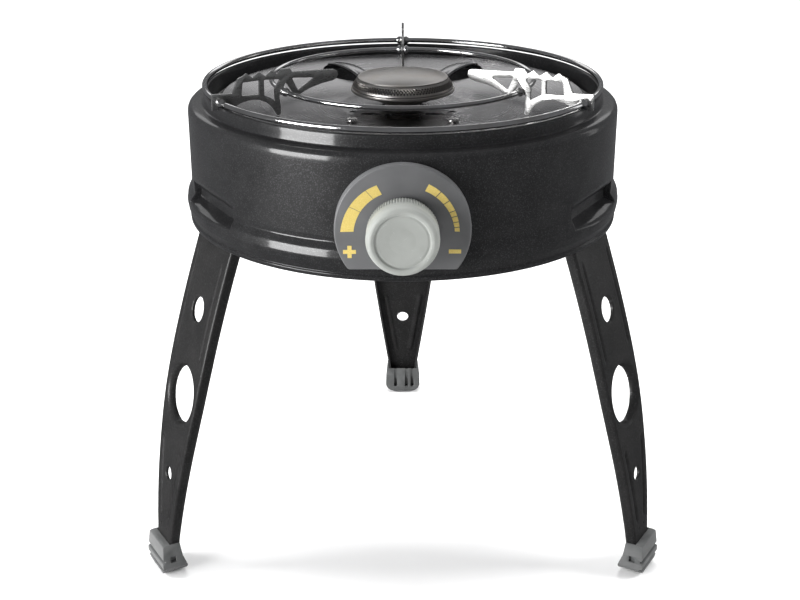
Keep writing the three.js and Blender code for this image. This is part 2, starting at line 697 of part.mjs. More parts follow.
function footBoot() {
  // a lip, two grooves and a heel that spreads inward
  const side = [
    [FOOT_IN_X + 3, 0], [FOOT_OUT_X - 4, 0], [FOOT_OUT_X - 1, 1.3], [FOOT_OUT_X - 0.2, 3.6],
    [FOOT_OUT_X - 0.4, 5.6], [FOOT_OUT_X - 2, 6.4], [FOOT_OUT_X, 7.4], [FOOT_OUT_X, 11.8],
    [FOOT_OUT_X - 2, 13.2], [FOOT_OUT_X - 0.6, 14.6], [FOOT_OUT_X - 1.4, 24],
    [FOOT_OUT_X - 2.8, FOOT_TOP_Z], [FOOT_IN_X + 4.8, FOOT_TOP_Z], [FOOT_IN_X + 4, FOOT_TOP_Z - 1.2],
    [FOOT_IN_X + 3.6, 15], [FOOT_IN_X + 0.7, 8], [FOOT_IN_X, 3.2], [FOOT_IN_X + 0.9, 0.9],
  ];
  // a flat strip to stand on, with the sole curving up to each side
  const half = [[4, 0], [10, 1.2], [13.4, 3.4], [15.2, 7], [FOOT_HALF, 8.5], [FOOT_HALF, 11],
    [FOOT_HALF - 1.7, FOOT_TOP_Z + 1]];
  const front = [...half, ...half.map(([y, z]) => [-y, z]).reverse()];
  const block = solid(sidePlate(side, 60)).intersect(solid(frontPlate(front, 150, 240)));
  const levels = [...LEG_LEVELS.slice(-3, -1), LEG_BOTTOM_Z - GAP];
  const pocket = legBar(GAP, LEG_DEPTH + GAP, GAP, levels);
  return block.subtract(pocket);
}

// the bracket inside the body: a plate on the pad, two ears and a stop tongue
function legBracket() {
  const back = PAD_X - SHEET - GAP;
  const x = pinCentre.x;
  const z = pinCentre.z;
  const half = LEG_HALF + GAP + EAR_T;
  const plate = solid(box(back - EAR_T, back, -half, half, 259.5, 276));
  const tongue = solid(box(back - EAR_T, back, -23, 23, z + 3, 260));
  const ear = [
    ...arc(x, z, 5.5, -150, 20, 5), [back, 262], [back, 276], [back - 9, 276], [x - 6, 262],
  ];
  const ears = [-1, 1].map((side) =>
    solid(sidePlate(ear, EAR_T).translate(0, side * (half - EAR_T / 2), 0)));
  const holes = solid(rodY(PIN_HOLE_R, x, -50, 50, z, 10));
  return cutAll(addAll(plate, tongue, ...ears), holes);
}

function hingePin() {
  const half = LEG_HALF + GAP + EAR_T;
  const shaft = solid(rodY(PIN_R, pinCentre.x, -half - 1.4, half + 1.4, pinCentre.z, 10));
  const heads = [-1, 1].map((side) => {
    const inner = side * (half + GAP);
    const outer = side * (half + GAP + 1.6);
    const low = Math.min(inner, outer);
    return solid(rodY(3.4, pinCentre.x, low, low + 1.6, pinCentre.z, 10));
  });
  return addAll(shaft, ...heads);
}

// ---------------------------------------------------------------- assembly

place('body_shell', bodyShell(), charcoalCoat);
place('reflector_pan', reflectorPan(), panSteel);
place('burner_strap', burnerStrap(), zincSteel);
place('burner_base', burnerBase(), burnerSteel);
place('burner_port_band', portBand(), burnerSteel);
place('burner_cap', burnerCap(), burnerSteel);
place('mixing_tube', mixingTube(), zincSteel);
place('gas_jet', gasJet().translate(0, 0, KNOB_Z), brass);
place('valve_body', valveBody(), brass);
place('valve_nut', valveNut(), zincSteel);
place('valve_spindle', valveSpindle(), zincSteel);
place('inlet_pipe', inletPipe(), brass);
place('inlet_nut', inletNut(), brass);
place('hose_tail', hoseTail(), brass);
place('dial_plate', dialPlate(), dialPlastic);
place('dial_screw_left', dialScrew(-1), zincSteel);
place('dial_screw_right', dialScrew(1), zincSteel);
place('control_knob', controlKnob(), knobPlastic);
place('outer_ring', wireRing(OUTER_RING_R, OUTER_WIRE_R, OUTER_RING_Z), chromeWire);
place('inner_ring', wireRing(INNER_RING_R, INNER_WIRE_R, INNER_RING_Z), chromeWire);

for (const [where, degrees] of Object.entries(PAN_SCREW_ANGLES)) {
  place(`pan_post_${where}`, panPost().rotateZ(bearing(degrees)), zincSteel);
  place(`pan_screw_${where}`, panScrew().rotateZ(bearing(degrees)), stainless);
}

for (const [where, degrees] of Object.entries(LEG_ANGLES)) {
  const side = new THREE.Group();
  side.rotation.z = bearing(degrees);
  root.add(side);
  place(`pot_fin_${where}`, potFin(), stainless, side);
  place(`leg_${where}`, legPlate(), charcoalCoat, side);
  place(`foot_${where}`, footBoot(), footRubber, side);
  place(`leg_bracket_${where}`, legBracket(), zincSteel, side);
  place(`hinge_pin_${where}`, hingePin(), zincSteel, side);
}

export default root;
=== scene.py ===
import json
import math

import bmesh
import bpy
from mathutils import Matrix, Vector


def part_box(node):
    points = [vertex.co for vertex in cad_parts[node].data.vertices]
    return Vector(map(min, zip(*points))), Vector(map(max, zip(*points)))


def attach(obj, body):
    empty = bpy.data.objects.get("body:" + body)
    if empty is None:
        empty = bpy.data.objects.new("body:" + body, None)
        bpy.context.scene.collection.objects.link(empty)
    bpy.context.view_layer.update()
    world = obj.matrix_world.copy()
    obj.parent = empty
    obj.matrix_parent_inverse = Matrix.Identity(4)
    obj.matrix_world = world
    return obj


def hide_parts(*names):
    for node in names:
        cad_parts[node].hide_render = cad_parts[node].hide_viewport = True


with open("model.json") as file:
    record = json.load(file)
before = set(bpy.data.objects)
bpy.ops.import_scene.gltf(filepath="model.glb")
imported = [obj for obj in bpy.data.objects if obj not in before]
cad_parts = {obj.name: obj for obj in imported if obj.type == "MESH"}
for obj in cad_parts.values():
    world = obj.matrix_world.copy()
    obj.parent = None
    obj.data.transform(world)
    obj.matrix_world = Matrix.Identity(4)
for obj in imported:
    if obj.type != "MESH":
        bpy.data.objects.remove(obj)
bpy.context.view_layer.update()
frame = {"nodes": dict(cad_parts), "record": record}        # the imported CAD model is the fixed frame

# Pieces are drawn in millimetres around the burner's axis and put into the frame by settle().

RECORD = frame["record"]
SLOT_OF = {row["node"]: row["material_slot"] for row in RECORD["subparts"]}
BODY_OF = {node: body for body, nodes in RECORD["behaviour"]["bodies"].items() for node in nodes}
MM = 0.001
CAP_LOW, CAP_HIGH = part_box("burner_cap")
AXIS_Y = (CAP_LOW.y + CAP_HIGH.y) / 2
TO_FRAME = Matrix.Translation((0, AXIS_Y, 0)) @ Matrix.Scale(MM, 4)
SIDES = {"front_left": -60, "front_right": 60, "back": 180}
SCREW_BEARINGS = {"front_left": -32, "front_right": 32, "back": 180}


def low(node):
    """A CAD node's lowest corner, in millimetres from the burner's axis."""
    return (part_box(node)[0] - Vector((0, AXIS_Y, 0))) / MM


def high(node):
    """A CAD node's highest corner, in millimetres from the burner's axis."""
    return (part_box(node)[1] - Vector((0, AXIS_Y, 0))) / MM


# driving dimensions, from the frame where it holds them

GAP = 0.3
SHEET = 1.0
LIP_Z = low("body_shell").z
NECK_TOP_Z = high("body_shell").z
BEAD_R = high("body_shell").x
BODY_R = BEAD_R - 3.8
SHOULDER_Z = NECK_TOP_Z - 9.2
LEDGE_Z = 321.3
PAD_X = 142.7
PAD_HALF = 33.7
PAN_RIM_R = high("reflector_pan").x
PAN_Z = 319
PAN_KNEE_R = 100
PAN_KNEE_Z = 324
PAN_RIM_Z = 329
PAN_T = 0.9
SCREW_AT_R = 64
HOOD_R = 94
HOOD_BEARING = 152
HOOD_TURN = 12
HOOD_TILT = 0.12
HOOD_LENGTH = 21
HOOD_HALF = 15
HOOD_HEIGHT = 5
BURNER_R = high("burner_base").x
FLANGE_Z = high("burner_base").z - 1.1
CAP_R = high("burner_cap").x
CAP_TOP_Z = high("burner_cap").z
CAP_EDGE_Z = low("burner_cap").z + 1
KNOB_Z = (low("control_knob").z + high("control_knob").z) / 2
KNOB_R = high("control_knob").x
KNOB_FRONT_Y = low("control_knob").y
KNOB_BACK_Y = high("control_knob").y
DIAL_Y = low("dial_plate").y
DIAL_R = high("dial_plate").x
DIAL_FLAT_Z = low("dial_plate").z
OUTER_WIRE_R = (high("outer_ring").z - low("outer_ring").z) / 2
OUTER_RING_R = high("outer_ring").x - OUTER_WIRE_R
OUTER_RING_Z = high("outer_ring").z - OUTER_WIRE_R
INNER_WIRE_R = (high("inner_ring").z - low("inner_ring").z) / 2
INNER_RING_R = high("inner_ring").x - INNER_WIRE_R
INNER_RING_Z = high("inner_ring").z - INNER_WIRE_R
FIN_T = 1.8
FIN_TOP_Z = high("pot_fin_back").z
LEG_TOP = Vector((147.5, 244))
LEG_BOW = Vector((195.6, 106.6))
LEG_END = Vector((202, 0))
LEG_T = 1.5
LEG_DEPTH = 7.3
LEG_WIDTHS = [(0, 12.2), (26, 12.5), (34, 13.8), (53, 16.7), (78, 20.3), (113, 25), (135, 27.2),
              (160, 28), (260, 28)]
LEG_HOLES = [(9, 196, 1.0), (20, 135.5, 4.2), (5, 75.5, 0.8)]      # radius, height, edge rounding
PIN_X = 140.92
PIN_Z = 250.68
FOOT_OUT_X = high("foot_back").y
FOOT_IN_X = low("foot_back").y
FOOT_TOP_Z = high("foot_back").z
FOOT_HALF = high("foot_back").x


# ---- lines and meshes

def lerp(a, b, t):
    return a + (b - a) * t


def smoothstep(t):
    t = min(max(t, 0), 1)
    return t * t * (3 - 2 * t)


def between(table, x):
    """The value at x on a line through (x, value) pairs."""
    for (x0, v0), (x1, v1) in zip(table, table[1:]):
        if x <= x1:
            return lerp(v0, v1, (x - x0) / (x1 - x0))
    return table[-1][1]


def rounded(corners, closed=False, steps=5):
    """A line through (x, y) corners; a corner's third value is its rounding radius."""
    line = []
    count = len(corners)
    for i, corner in enumerate(corners):
        here = Vector(corner[:2])
        inside = closed or 0 < i < count - 1
        if len(corner) < 3 or not inside:
            line.append(tuple(here))
            continue
        to_last = Vector(corners[i - 1][:2]) - here
        to_next = Vector(corners[(i + 1) % count][:2]) - here
        half = to_last.angle(to_next) / 2
        reach = min(corner[2] / math.tan(half), 0.49 * to_last.length, 0.49 * to_next.length)
        start = here + to_last.normalized() * reach
        end = here + to_next.normalized() * reach
        for k in range(steps + 1):
            t = k / steps
            line.append(tuple(start * (1 - t) ** 2 + here * 2 * t * (1 - t) + end * t ** 2))
    return line


def dense(line, step):
    """The same line with points no further apart than step."""
    points = []
    for a, b in zip(line, line[1:]):
        parts = max(1, math.ceil(math.dist(a, b) / step))
        points += [(lerp(a[0], b[0], k / parts), lerp(a[1], b[1], k / parts)) for k in range(parts)]
    return points + [line[-1]]


def arc(radius, start, end, steps, centre=(0, 0)):
    """Points on an arc, angles in degrees."""
    angles = [math.radians(lerp(start, end, i / steps)) for i in range(steps + 1)]
    return [(centre[0] + radius * math.cos(a), centre[1] + radius * math.sin(a)) for a in angles]


def add(name, data):
    """A new object in the scene."""
    obj = bpy.data.objects.new(name, data)
    bpy.context.scene.collection.objects.link(obj)
    return obj


def make(name, points, faces):
    """A mesh object in millimetres, with merged points and outward faces."""
    mesh = bpy.data.meshes.new(name)
    mesh.from_pydata([tuple(p) for p in points], [], faces)
    work = bmesh.new()
    work.from_mesh(mesh)
    bmesh.ops.remove_doubles(work, verts=work.verts, dist=1e-4)
    bmesh.ops.dissolve_degenerate(work, edges=work.edges, dist=1e-5)
    bmesh.ops.recalc_face_normals(work, faces=work.faces)
    work.to_mesh(mesh)
    work.free()
    return add(name, mesh)


def grid_faces(rows, columns, wrap_rows=False, wrap_columns=False):
    """Quads over a grid of points stored row by row."""
    faces = []
    for i in range(rows if wrap_rows else rows - 1):
        for j in range(columns if wrap_columns else columns - 1):
            a, b = i * columns + j, i * columns + (j + 1) % columns
            c, d = ((i + 1) % rows) * columns + (j + 1) % columns, ((i + 1) % rows) * columns + j
            faces.append((a, b, c, d))
    return faces


def turned(name, outline, steps=128, axis="Z", centre=(0, 0, 0)):
    """A closed outline [(radius, height), ...] turned about an axis through centre."""
    points = []
    for i in range(steps):
        angle = 2 * math.pi * i / steps
        for radius, height in outline:
            x, y = radius * math.cos(angle), radius * math.sin(angle)
            point = {"Z": (x, y, height), "Y": (x, height, y), "X": (height, x, y)}[axis]
            points.append(Vector(point) + Vector(centre))
    return make(name, points, grid_faces(steps, len(outline), True, True))


def prism(name, outline, start, end, plane="XZ"):
    """An outline given thickness: (x, z) along Y, (y, z) along X or (x, y) along Z."""
    count = len(outline)
    points = []
    for depth in (start, end):
        for a, b in outline:
            points.append({"XZ": (a, depth, b), "YZ": (depth, a, b), "XY": (a, b, depth)}[plane])
    faces = [(i, (i + 1) % count, count + (i + 1) % count, count + i) for i in range(count)]
    faces += [tuple(range(count)), tuple(range(2 * count - 1, count - 1, -1))]
    return make(name, points, faces)


def tube(name, path, radius, bore, sides=32):
    """A pipe along a path of points that lies in one plane."""
    points = []
    last = len(path) - 1
    spread = [Vector(path[min(i + 1, last)]) - Vector(path[max(i - 1, 0)]) for i in range(last + 1)]
    across = (Vector(path[0]) - Vector(path[last // 2])).cross(
        Vector(path[last]) - Vector(path[last // 2])).normalized()
    for i, centre in enumerate(path):
        up = spread[i].cross(across).normalized()
        for ring in (radius, bore):
            for k in range(sides):
                angle = 2 * math.pi * k / sides
                offset = (across * math.cos(angle) + up * math.sin(angle)) * ring
                points.append(Vector(centre) + offset)
    faces = []
    width = 2 * sides
    for k in range(sides):
        n = (k + 1) % sides
        for i in range(last):
            a, b = i * width, (i + 1) * width
            faces.append((a + k, a + n, b + n, b + k))
            faces.append((a + sides + k, a + sides + n, b + sides + n, b + sides + k))
        for a in (0, last * width):
            faces.append((a + k, a + n, a + sides + n, a + sides + k))
    return make(name, points, faces)


def bake(obj):
    """Applies an object's modifiers."""
    graph = bpy.context.evaluated_depsgraph_get()
    mesh = bpy.data.meshes.new_from_object(obj.evaluated_get(graph))
    obj.modifiers.clear()
    obj.data = mesh
    return obj


def boolean(obj, tools, operation="DIFFERENCE"):
    """Cuts the tools out of an object, or joins them to it."""
    for tool in tools:
        modifier = obj.modifiers.new("boolean", "BOOLEAN")
        modifier.operation = operation
        modifier.solver = "EXACT"
        modifier.object = tool
    bake(obj)
    for tool in tools:
        bpy.data.objects.remove(tool)
    return obj


def add_bevel(obj, width, segments, angle):
    """Rounds the edges that are sharper than angle, as a modifier."""
    modifier = obj.modifiers.new("bevel", "BEVEL")
    modifier.width = width
    modifier.segments = segments
    modifier.limit_method = "ANGLE"
    modifier.angle_limit = math.radians(angle)


def soften(obj, width, segments=3, angle=32):
    """Rounds the edges that are sharper than angle."""
    add_bevel(obj, width, segments, angle)
    return bake(obj)


def thicken(obj, thickness, offset=-1, even=True):
    """Gives a skin its sheet thickness, inward or, with an offset of 0, to both sides."""
    modifier = obj.modifiers.new("sheet", "SOLIDIFY")
    modifier.thickness = thickness
    modifier.offset = offset
    modifier.use_even_offset = even
    return bake(obj)


def face_bearing(obj, degrees, distance=0):
    """Shifts something outward along +X, then turns it to face a bearing; 0 is the knob's side."""
    turn = Matrix.Rotation(math.radians(degrees - 90), 4, "Z")
    obj.data.transform(turn @ Matrix.Translation((distance, 0, 0)))
    return obj


def use_finish(obj, finish):
    obj.data.materials.clear()
    obj.data.materials.append(FINISHES[finish])


def settle(obj, node, smooth=34, finish=None):
    """Puts a piece into the frame, riding on a CAD node's body, in its finish unless another is named."""
    obj.data.transform(TO_FRAME)
    obj.data.shade_smooth()
    obj.data.set_sharp_from_angle(angle=math.radians(smooth))
    use_finish(obj, finish or SLOT_OF[node])
    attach(obj, BODY_OF[node])


def stand_for(obj, node, smooth=34):
    """A finished piece that is shown in place of its CAD node."""
    settle(obj, node, smooth)
    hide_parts(node)
    return obj


# ---- finishes

class Finish:
    """A Principled material and short ways to wire it."""

    def __init__(self, name, **direct):
        self.material = bpy.data.materials.new(name)
        self.material.use_nodes = True
        self.tree = self.material.node_tree
        self.shader = self.tree.nodes["Principled BSDF"]
        self.place = self.node("ShaderNodeTexCoord").outputs["Object"]
        for socket, value in direct.items():
            self.shader.inputs[socket.replace("_", " ")].default_value = value

    def node(self, kind, **inputs):
        made = self.tree.nodes.new(kind)
        for socket, value in inputs.items():
            self.feed(value, made.inputs[socket.replace("_", " ")])
        return made

    def feed(self, value, socket):
        if isinstance(value, bpy.types.NodeSocket):
            self.tree.links.new(value, socket)
        else:
            socket.default_value = value

    def noise(self, scale, detail=3.0, stretch=(1, 1, 1)):
        """A cloud value, with scale in cells per metre."""
        mapping = self.node("ShaderNodeMapping", Vector=self.place, Scale=stretch)
        made = self.node("ShaderNodeTexNoise", Vector=mapping.outputs[0], Scale=scale,
                         Detail=detail, Roughness=0.55)
        return made.outputs["Fac"]

    def cells(self, scale):
        """A random value for each small cell."""
        made = self.node("ShaderNodeTexVoronoi", Vector=self.place, Scale=scale)
        split = self.node("ShaderNodeSeparateColor", Color=made.outputs["Color"])
        return split.outputs[0]

    def span(self, value, start, end, low_value, high_value):
        """The value's stretch from start to end, spread over low_value to high_value."""
        made = self.node("ShaderNodeMapRange", Value=value, From_Min=start, From_Max=end,
                         To_Min=low_value, To_Max=high_value)
        return made.outputs["Result"]

    def spread(self, value, low_value=0.0, high_value=1.0):
        """A cloud value's usual stretch, spread over low_value to high_value."""
        return self.span(value, 0.3, 0.7, low_value, high_value)

    def math(self, operation, a, b=0.0):
        made = self.tree.nodes.new("ShaderNodeMath")
        made.operation = operation
        self.feed(a, made.inputs[0])
        self.feed(b, made.inputs[1])
        return made.outputs[0]

    def mix(self, share, a, b):
        """Colour a where share is 0, colour b where it is 1."""
        made = self.tree.nodes.new("ShaderNodeMix")
        made.data_type = "RGBA"
        factor, first, second = (made.inputs[i] for i in (0, 6, 7))
        self.feed(share, factor)
        self.feed((*a, 1) if isinstance(a, tuple) else a, first)
        self.feed((*b, 1) if isinstance(b, tuple) else b, second)
        return made.outputs[2]

    def rubbed(self, share, base, bright):
        """The base colour, going part of the way to bright on sharp outer edges."""
        geometry = self.node("ShaderNodeNewGeometry")
        edges = self.span(geometry.outputs["Pointiness"], 0.52, 0.62, 0.0, 1.0)
        return self.mix(self.math("MULTIPLY", edges, share), base, bright)

    def radius(self):
        """Distance from the burner's axis, in metres."""
        shifted = self.tree.nodes.new("ShaderNodeVectorMath")
        shifted.operation = "SUBTRACT"
        self.feed(self.place, shifted.inputs[0])
        shifted.inputs[1].default_value = (0, AXIS_Y, 0)
        split = self.node("ShaderNodeSeparateXYZ", Vector=shifted.outputs[0])
        squares = [self.math("POWER", split.outputs[i], 2.0) for i in (0, 1)]
        return self.math("SQRT", self.math("ADD", *squares))

    def rings(self, scale):
        """Fine turned lines around the burner's axis."""
        made = self.node("ShaderNodeTexNoise", Scale=scale, Detail=4.0)
        made.noise_dimensions = "1D"
        self.feed(self.radius(), made.inputs["W"])
        return made.outputs["Fac"]

    def colour(self, value):
        self.feed(value, self.shader.inputs["Base Color"])

    def rough(self, value):
        self.feed(value, self.shader.inputs["Roughness"])

    def bump(self, height, distance, strength=1.0):
        made = self.node("ShaderNodeBump", Height=height, Distance=distance, Strength=strength)
        self.feed(made.outputs["Normal"], self.shader.inputs["Normal"])


def coat_finish(name, dark, light, gloss, fleck, coat):
    """Charcoal powder coat: a fine orange peel, tiny metal flecks and edges rubbed a shade lighter."""
    made = Finish(name, Specular_IOR_Level=0.16, Coat_Weight=coat, Coat_Roughness=0.1)
    flecks = made.span(made.cells(2100), 0.85 - fleck, 1.0, 0.0, 1.0)
    clouds = made.noise(60, 4.0)
    base = made.mix(made.spread(clouds), dark, light)
    speckled = made.mix(made.math("MULTIPLY", flecks, 0.5), base, (0.09, 0.09, 0.093))
    made.colour(made.rubbed(0.25, speckled, (0.11, 0.11, 0.11)))
    made.feed(made.math("MULTIPLY", flecks, 0.7), made.shader.inputs["Metallic"])
    made.rough(made.spread(made.noise(900, 3.0), gloss - 0.05, gloss + 0.07))
    made.bump(made.noise(1300, 3.0), 0.00005, 0.5)
    return made.material


def chrome_finish():
    """Bright plated wire with faint drawing marks and a little heat haze."""
    made = Finish("chrome_wire", Metallic=1.0)
    haze = made.span(made.noise(45, 3.0), 0.35, 0.7, 0.0, 1.0)
    made.colour(made.mix(haze, (0.70, 0.70, 0.71), (0.55, 0.54, 0.53)))
    made.rough(made.span(made.noise(700, 4.0), 0.3, 0.75, 0.06, 0.17))
    made.bump(made.noise(420, 3.0), 0.00003, 0.4)
    return made.material


def fin_finish():
    """Stamped stainless sheet: rolling grain along its length and bright cut edges."""
    made = Finish("fin_steel", Metallic=1.0)
    grain = made.noise(260, 5.0, (1, 1, 9))
    body = made.mix(made.spread(grain), (0.50, 0.50, 0.49), (0.66, 0.66, 0.65))
    made.colour(made.rubbed(0.6, body, (0.82, 0.82, 0.82)))
    made.rough(made.spread(grain, 0.24, 0.38))
    made.bump(grain, 0.00003, 0.5)
    return made.material


def pan_finish():
    """Satin pressed steel with turned lines, soft blotches and small scuffs."""
    made = Finish("pan_steel", Metallic=1.0)
    lines = made.rings(900)
    blotch = made.noise(28, 4.0)
    scuffs = made.span(made.noise(240, 5.0, (1, 3, 1)), 0.62, 0.72, 0.0, 1.0)
    base = made.mix(made.spread(blotch), (0.30, 0.295, 0.30), (0.38, 0.375, 0.38))
    made.colour(made.mix(made.math("MULTIPLY", scuffs, 0.3), base, (0.6, 0.6, 0.6)))
    made.rough(made.math("ADD", made.spread(lines, 0.20, 0.24), made.spread(blotch, 0, 0.06)))
    made.bump(lines, 0.00001, 0.25)
    return made.material


def burner_finish():
    """Satin stainless, a little warm, with turned lines and straw-coloured heat tint."""
    made = Finish("burner_steel", Metallic=1.0)
    lines = made.rings(1400)
    tint = made.span(made.noise(70, 4.0), 0.42, 0.75, 0.0, 0.6)
    made.colour(made.mix(tint, (0.48, 0.465, 0.45), (0.42, 0.37, 0.32)))
    made.rough(made.spread(lines, 0.28, 0.42))
    made.bump(made.math("ADD", lines, made.noise(1600, 2.0)), 0.00003, 0.5)
    return made.material


def zinc_finish():
    """Zinc plate: a cool grey spangle and soft stains."""
    made = Finish("zinc_steel", Metallic=1.0)
    spangle = made.cells(420)
    stain = made.noise(90, 4.0)
    plate = made.mix(spangle, (0.34, 0.345, 0.36), (0.44, 0.445, 0.45))
    made.colour(made.mix(made.span(stain, 0.5, 0.8, 0.0, 0.5), plate, (0.26, 0.25, 0.23)))
    made.rough(made.spread(stain, 0.32, 0.5))
    made.bump(made.noise(1100, 3.0), 0.00003, 0.4)
    return made.material


def screw_finish():
    """Plain steel screw heads with a fine machined wear."""
    made = Finish("screw_steel", Metallic=1.0)
    wear = made.noise(1500, 3.0)
    made.colour(made.mix(made.spread(wear), (0.48, 0.47, 0.46), (0.66, 0.65, 0.64)))
    made.rough(made.spread(wear, 0.18, 0.32))
    made.bump(wear, 0.00002, 0.4)
    return made.material


def brass_finish():
    """Machined brass with tool marks and a dull tarnish in patches."""
    made = Finish("brass", Metallic=1.0)
    tarnish = made.span(made.noise(130, 4.0), 0.45, 0.75, 0.0, 0.8)
    made.colour(made.mix(tarnish, (0.62, 0.44, 0.18), (0.34, 0.23, 0.10)))
    made.rough(made.spread(made.noise(1700, 2.0, (1, 1, 6)), 0.22, 0.38))
    made.bump(made.noise(1700, 2.0, (1, 1, 6)), 0.00002, 0.5)
    return made.material


def plastic_finish(name, dark, light, gloss, grain):
    """Moulded plastic: fine spark-eroded grain, slight shade variation and rubbed edges."""
    made = Finish(name, Specular_IOR_Level=0.45)
    shade = made.mix(made.spread(made.noise(50, 3.0)), dark, light)
    rub = tuple(min(1.0, c * 1.3 + 0.01) for c in light)
    made.colour(made.rubbed(0.35, shade, rub))
    made.rough(made.spread(made.noise(grain, 3.0), gloss - 0.06, gloss + 0.08))
    made.bump(made.noise(grain, 2.0), 0.00005, 0.5)
    return made.material


def rubber_finish():
    """Moulded rubber: matt grey with dusty bloom, grain and scuffed edges."""
    made = Finish("foot_rubber", Specular_IOR_Level=0.3, Sheen_Weight=0.15, Sheen_Roughness=0.6)
    bloom = made.noise(110, 5.0)
    shade = made.mix(made.span(bloom, 0.35, 0.7, 0.0, 1.0), (0.052, 0.054, 0.054), (0.084, 0.087, 0.087))
    made.colour(made.rubbed(0.4, shade, (0.14, 0.14, 0.14)))
    made.rough(made.spread(bloom, 0.62, 0.82))
    made.bump(made.noise(2200, 3.0), 0.00008, 0.6)
    return made.material


def gold_finish():
    """Screen-printed gold ink: fine metallic grain on a warm base."""
    made = Finish("gold_print", Metallic=0.25, Specular_IOR_Level=0.4)
    grain = made.noise(2600, 3.0)
    made.colour(made.mix(made.spread(grain), (0.56, 0.43, 0.10), (0.70, 0.55, 0.19)))
    made.rough(made.spread(grain, 0.42, 0.6))
    made.bump(grain, 0.00002, 0.5)
    return made.material


def port_shade_finish():
    """Near-black painted shade on the walls and floors of the shallow flame-port pits, standing in for the
    depth of open ports, with some soot.
    """
    made = Finish("port_shade_and_soot", Metallic=0.3, Specular_IOR_Level=0.2)
    made.colour(made.mix(made.noise(1500, 3.0), (0.010, 0.008, 0.007), (0.035, 0.028, 0.024)))
    made.rough(made.spread(made.noise(900, 2.0), 0.5, 0.7))
    return made.material


FINISHES = {
    "shell_coat": coat_finish("shell_coat", (0.009, 0.009, 0.0095), (0.014, 0.014, 0.0145),
                              0.33, 0.10, 0.6),
    "leg_coat": coat_finish("leg_coat", (0.010, 0.010, 0.010), (0.016, 0.0155, 0.0155),
                            0.42, 0.04, 0.15),
    "chrome_wire": chrome_finish(),
    "fin_steel": fin_finish(),
    "pan_steel": pan_finish(),
    "burner_steel": burner_finish(),
    "zinc_steel": zinc_finish(),
    "screw_steel": screw_finish(),
    "brass": brass_finish(),
    "knob_plastic": plastic_finish("knob_plastic", (0.23, 0.24, 0.225), (0.27, 0.28, 0.265), 0.5, 1500),
    "dial_plastic": plastic_finish("dial_plastic", (0.085, 0.086, 0.088), (0.105, 0.106, 0.109),
                                   0.42, 1900),
    "foot_rubber": rubber_finish(),
    "gold_print": gold_finish(),
    # near-black painted shade inside the shallow flame-port pits, with some soot
    "port_shade_and_soot": port_shade_finish(),
}


# ---- drum body

SHELL_CORNERS = [
    (BEAD_R - 5.8, LIP_Z + 2.6),
    (BEAD_R - 5.4, LIP_Z, 1.0),
    (BEAD_R - 1.9, LIP_Z, 1.2),
    (BEAD_R - 1.7, LIP_Z + 2.9, 1.0),
    (BEAD_R - 2.7, LIP_Z + 3.8, 0.7),
    (BEAD_R - 0.7, LIP_Z + 9.0, 5.0),
    (BEAD_R, LIP_Z + 13.8, 6.0),
    (BEAD_R - 0.8, LIP_Z + 19.0, 5.0),
    (BODY_R - 0.3, LIP_Z + 23.6, 2.0),
    (BODY_R, LIP_Z + 27.0, 2.0),
    (BODY_R, SHOULDER_Z, 8.5),
    (140.4, SHOULDER_Z + 0.4, 1.3),
    (139.9, NECK_TOP_Z, 1.7),
    (136.5, NECK_TOP_Z, 1.7),
    (136.5, LEDGE_Z, 1.6),
    (120.0, LEDGE_Z),
]


def pressed(x, y, z):
    """Where a leg's flat pad leaves the wall, in the pad's frame with x outward."""
    pad = max(
        PAD_X,
        PAD_X + (z - 273.0) * 1.43,
        PAD_X + (264.5 - z) * 2.67,
        PAD_X + (abs(y) - PAD_HALF + 1.3) * 4.5,
    )
    softness = 0.5
    if pad > x + 2 * softness:
        return x
    return (x + pad) / 2 - math.hypot(x - pad, softness) / 2


def turn_from(degrees, bearing):
    """A turning angle measured from a bearing, between -180 and 180 degrees."""
    return (degrees - bearing + 90 + 180) % 360 - 180


def wall_angles():
    """Turning angles in degrees, closer together at the sides of the pads."""
    angles = {round(1.5 * i, 3) for i in range(240)}
    for bearing in SIDES.values():
        for side in (-1, 1):
            for k in range(13):
                angles.add(round((bearing - 90 + side * (12.0 + 0.17 * k)) % 360, 3))
    return sorted(angles)


def face_outward(skin, z):
    """Turns an open skin's faces so that they look away from the burner's axis at height z."""
    work = bmesh.new()
    work.from_mesh(skin.data)
    face = max(work.faces, key=lambda f: f.calc_center_median().x - abs(f.calc_center_median().z - z))
    if face.normal.x < 0:
        bmesh.ops.reverse_faces(work, faces=work.faces)
    work.to_mesh(skin.data)
    work.free()


def body_shell():
    corners = rounded(SHELL_CORNERS)
    line = []
    for a, b in zip(corners, corners[1:]):
        pad_level = 257 < (a[1] + b[1]) / 2 < 284
        line += dense([a, b], 0.9 if pad_level else 3.0)[:-1]
    line.append(corners[-1])
    points = []
    angles = wall_angles()
    for degrees in angles:
        pad = min(SIDES.values(), key=lambda bearing: abs(turn_from(degrees, bearing)))
        turn = math.radians(turn_from(degrees, pad))
        to_pad = Matrix.Rotation(math.radians(pad - 90), 3, "Z")
        for radius, z in line:
            x, y = radius * math.cos(turn), radius * math.sin(turn)
            if abs(turn) < 0.35 and 255 < z < 290:
                x = pressed(x, y, z)
            points.append(to_pad @ Vector((x, y, z)))
    shell = make("drum_body", points, grid_faces(len(angles), len(line), wrap_rows=True))
    face_outward(shell, LIP_Z + 60)
    stand_for(thicken(shell, SHEET), "body_shell", 50)


# ---- pan

def pan_top(r):
    """Height of the pan's upper face."""
    return between([(0, PAN_Z), (45, PAN_Z), (PAN_KNEE_R, PAN_KNEE_Z), (PAN_RIM_R - 3, PAN_RIM_Z - 0.4)], r)


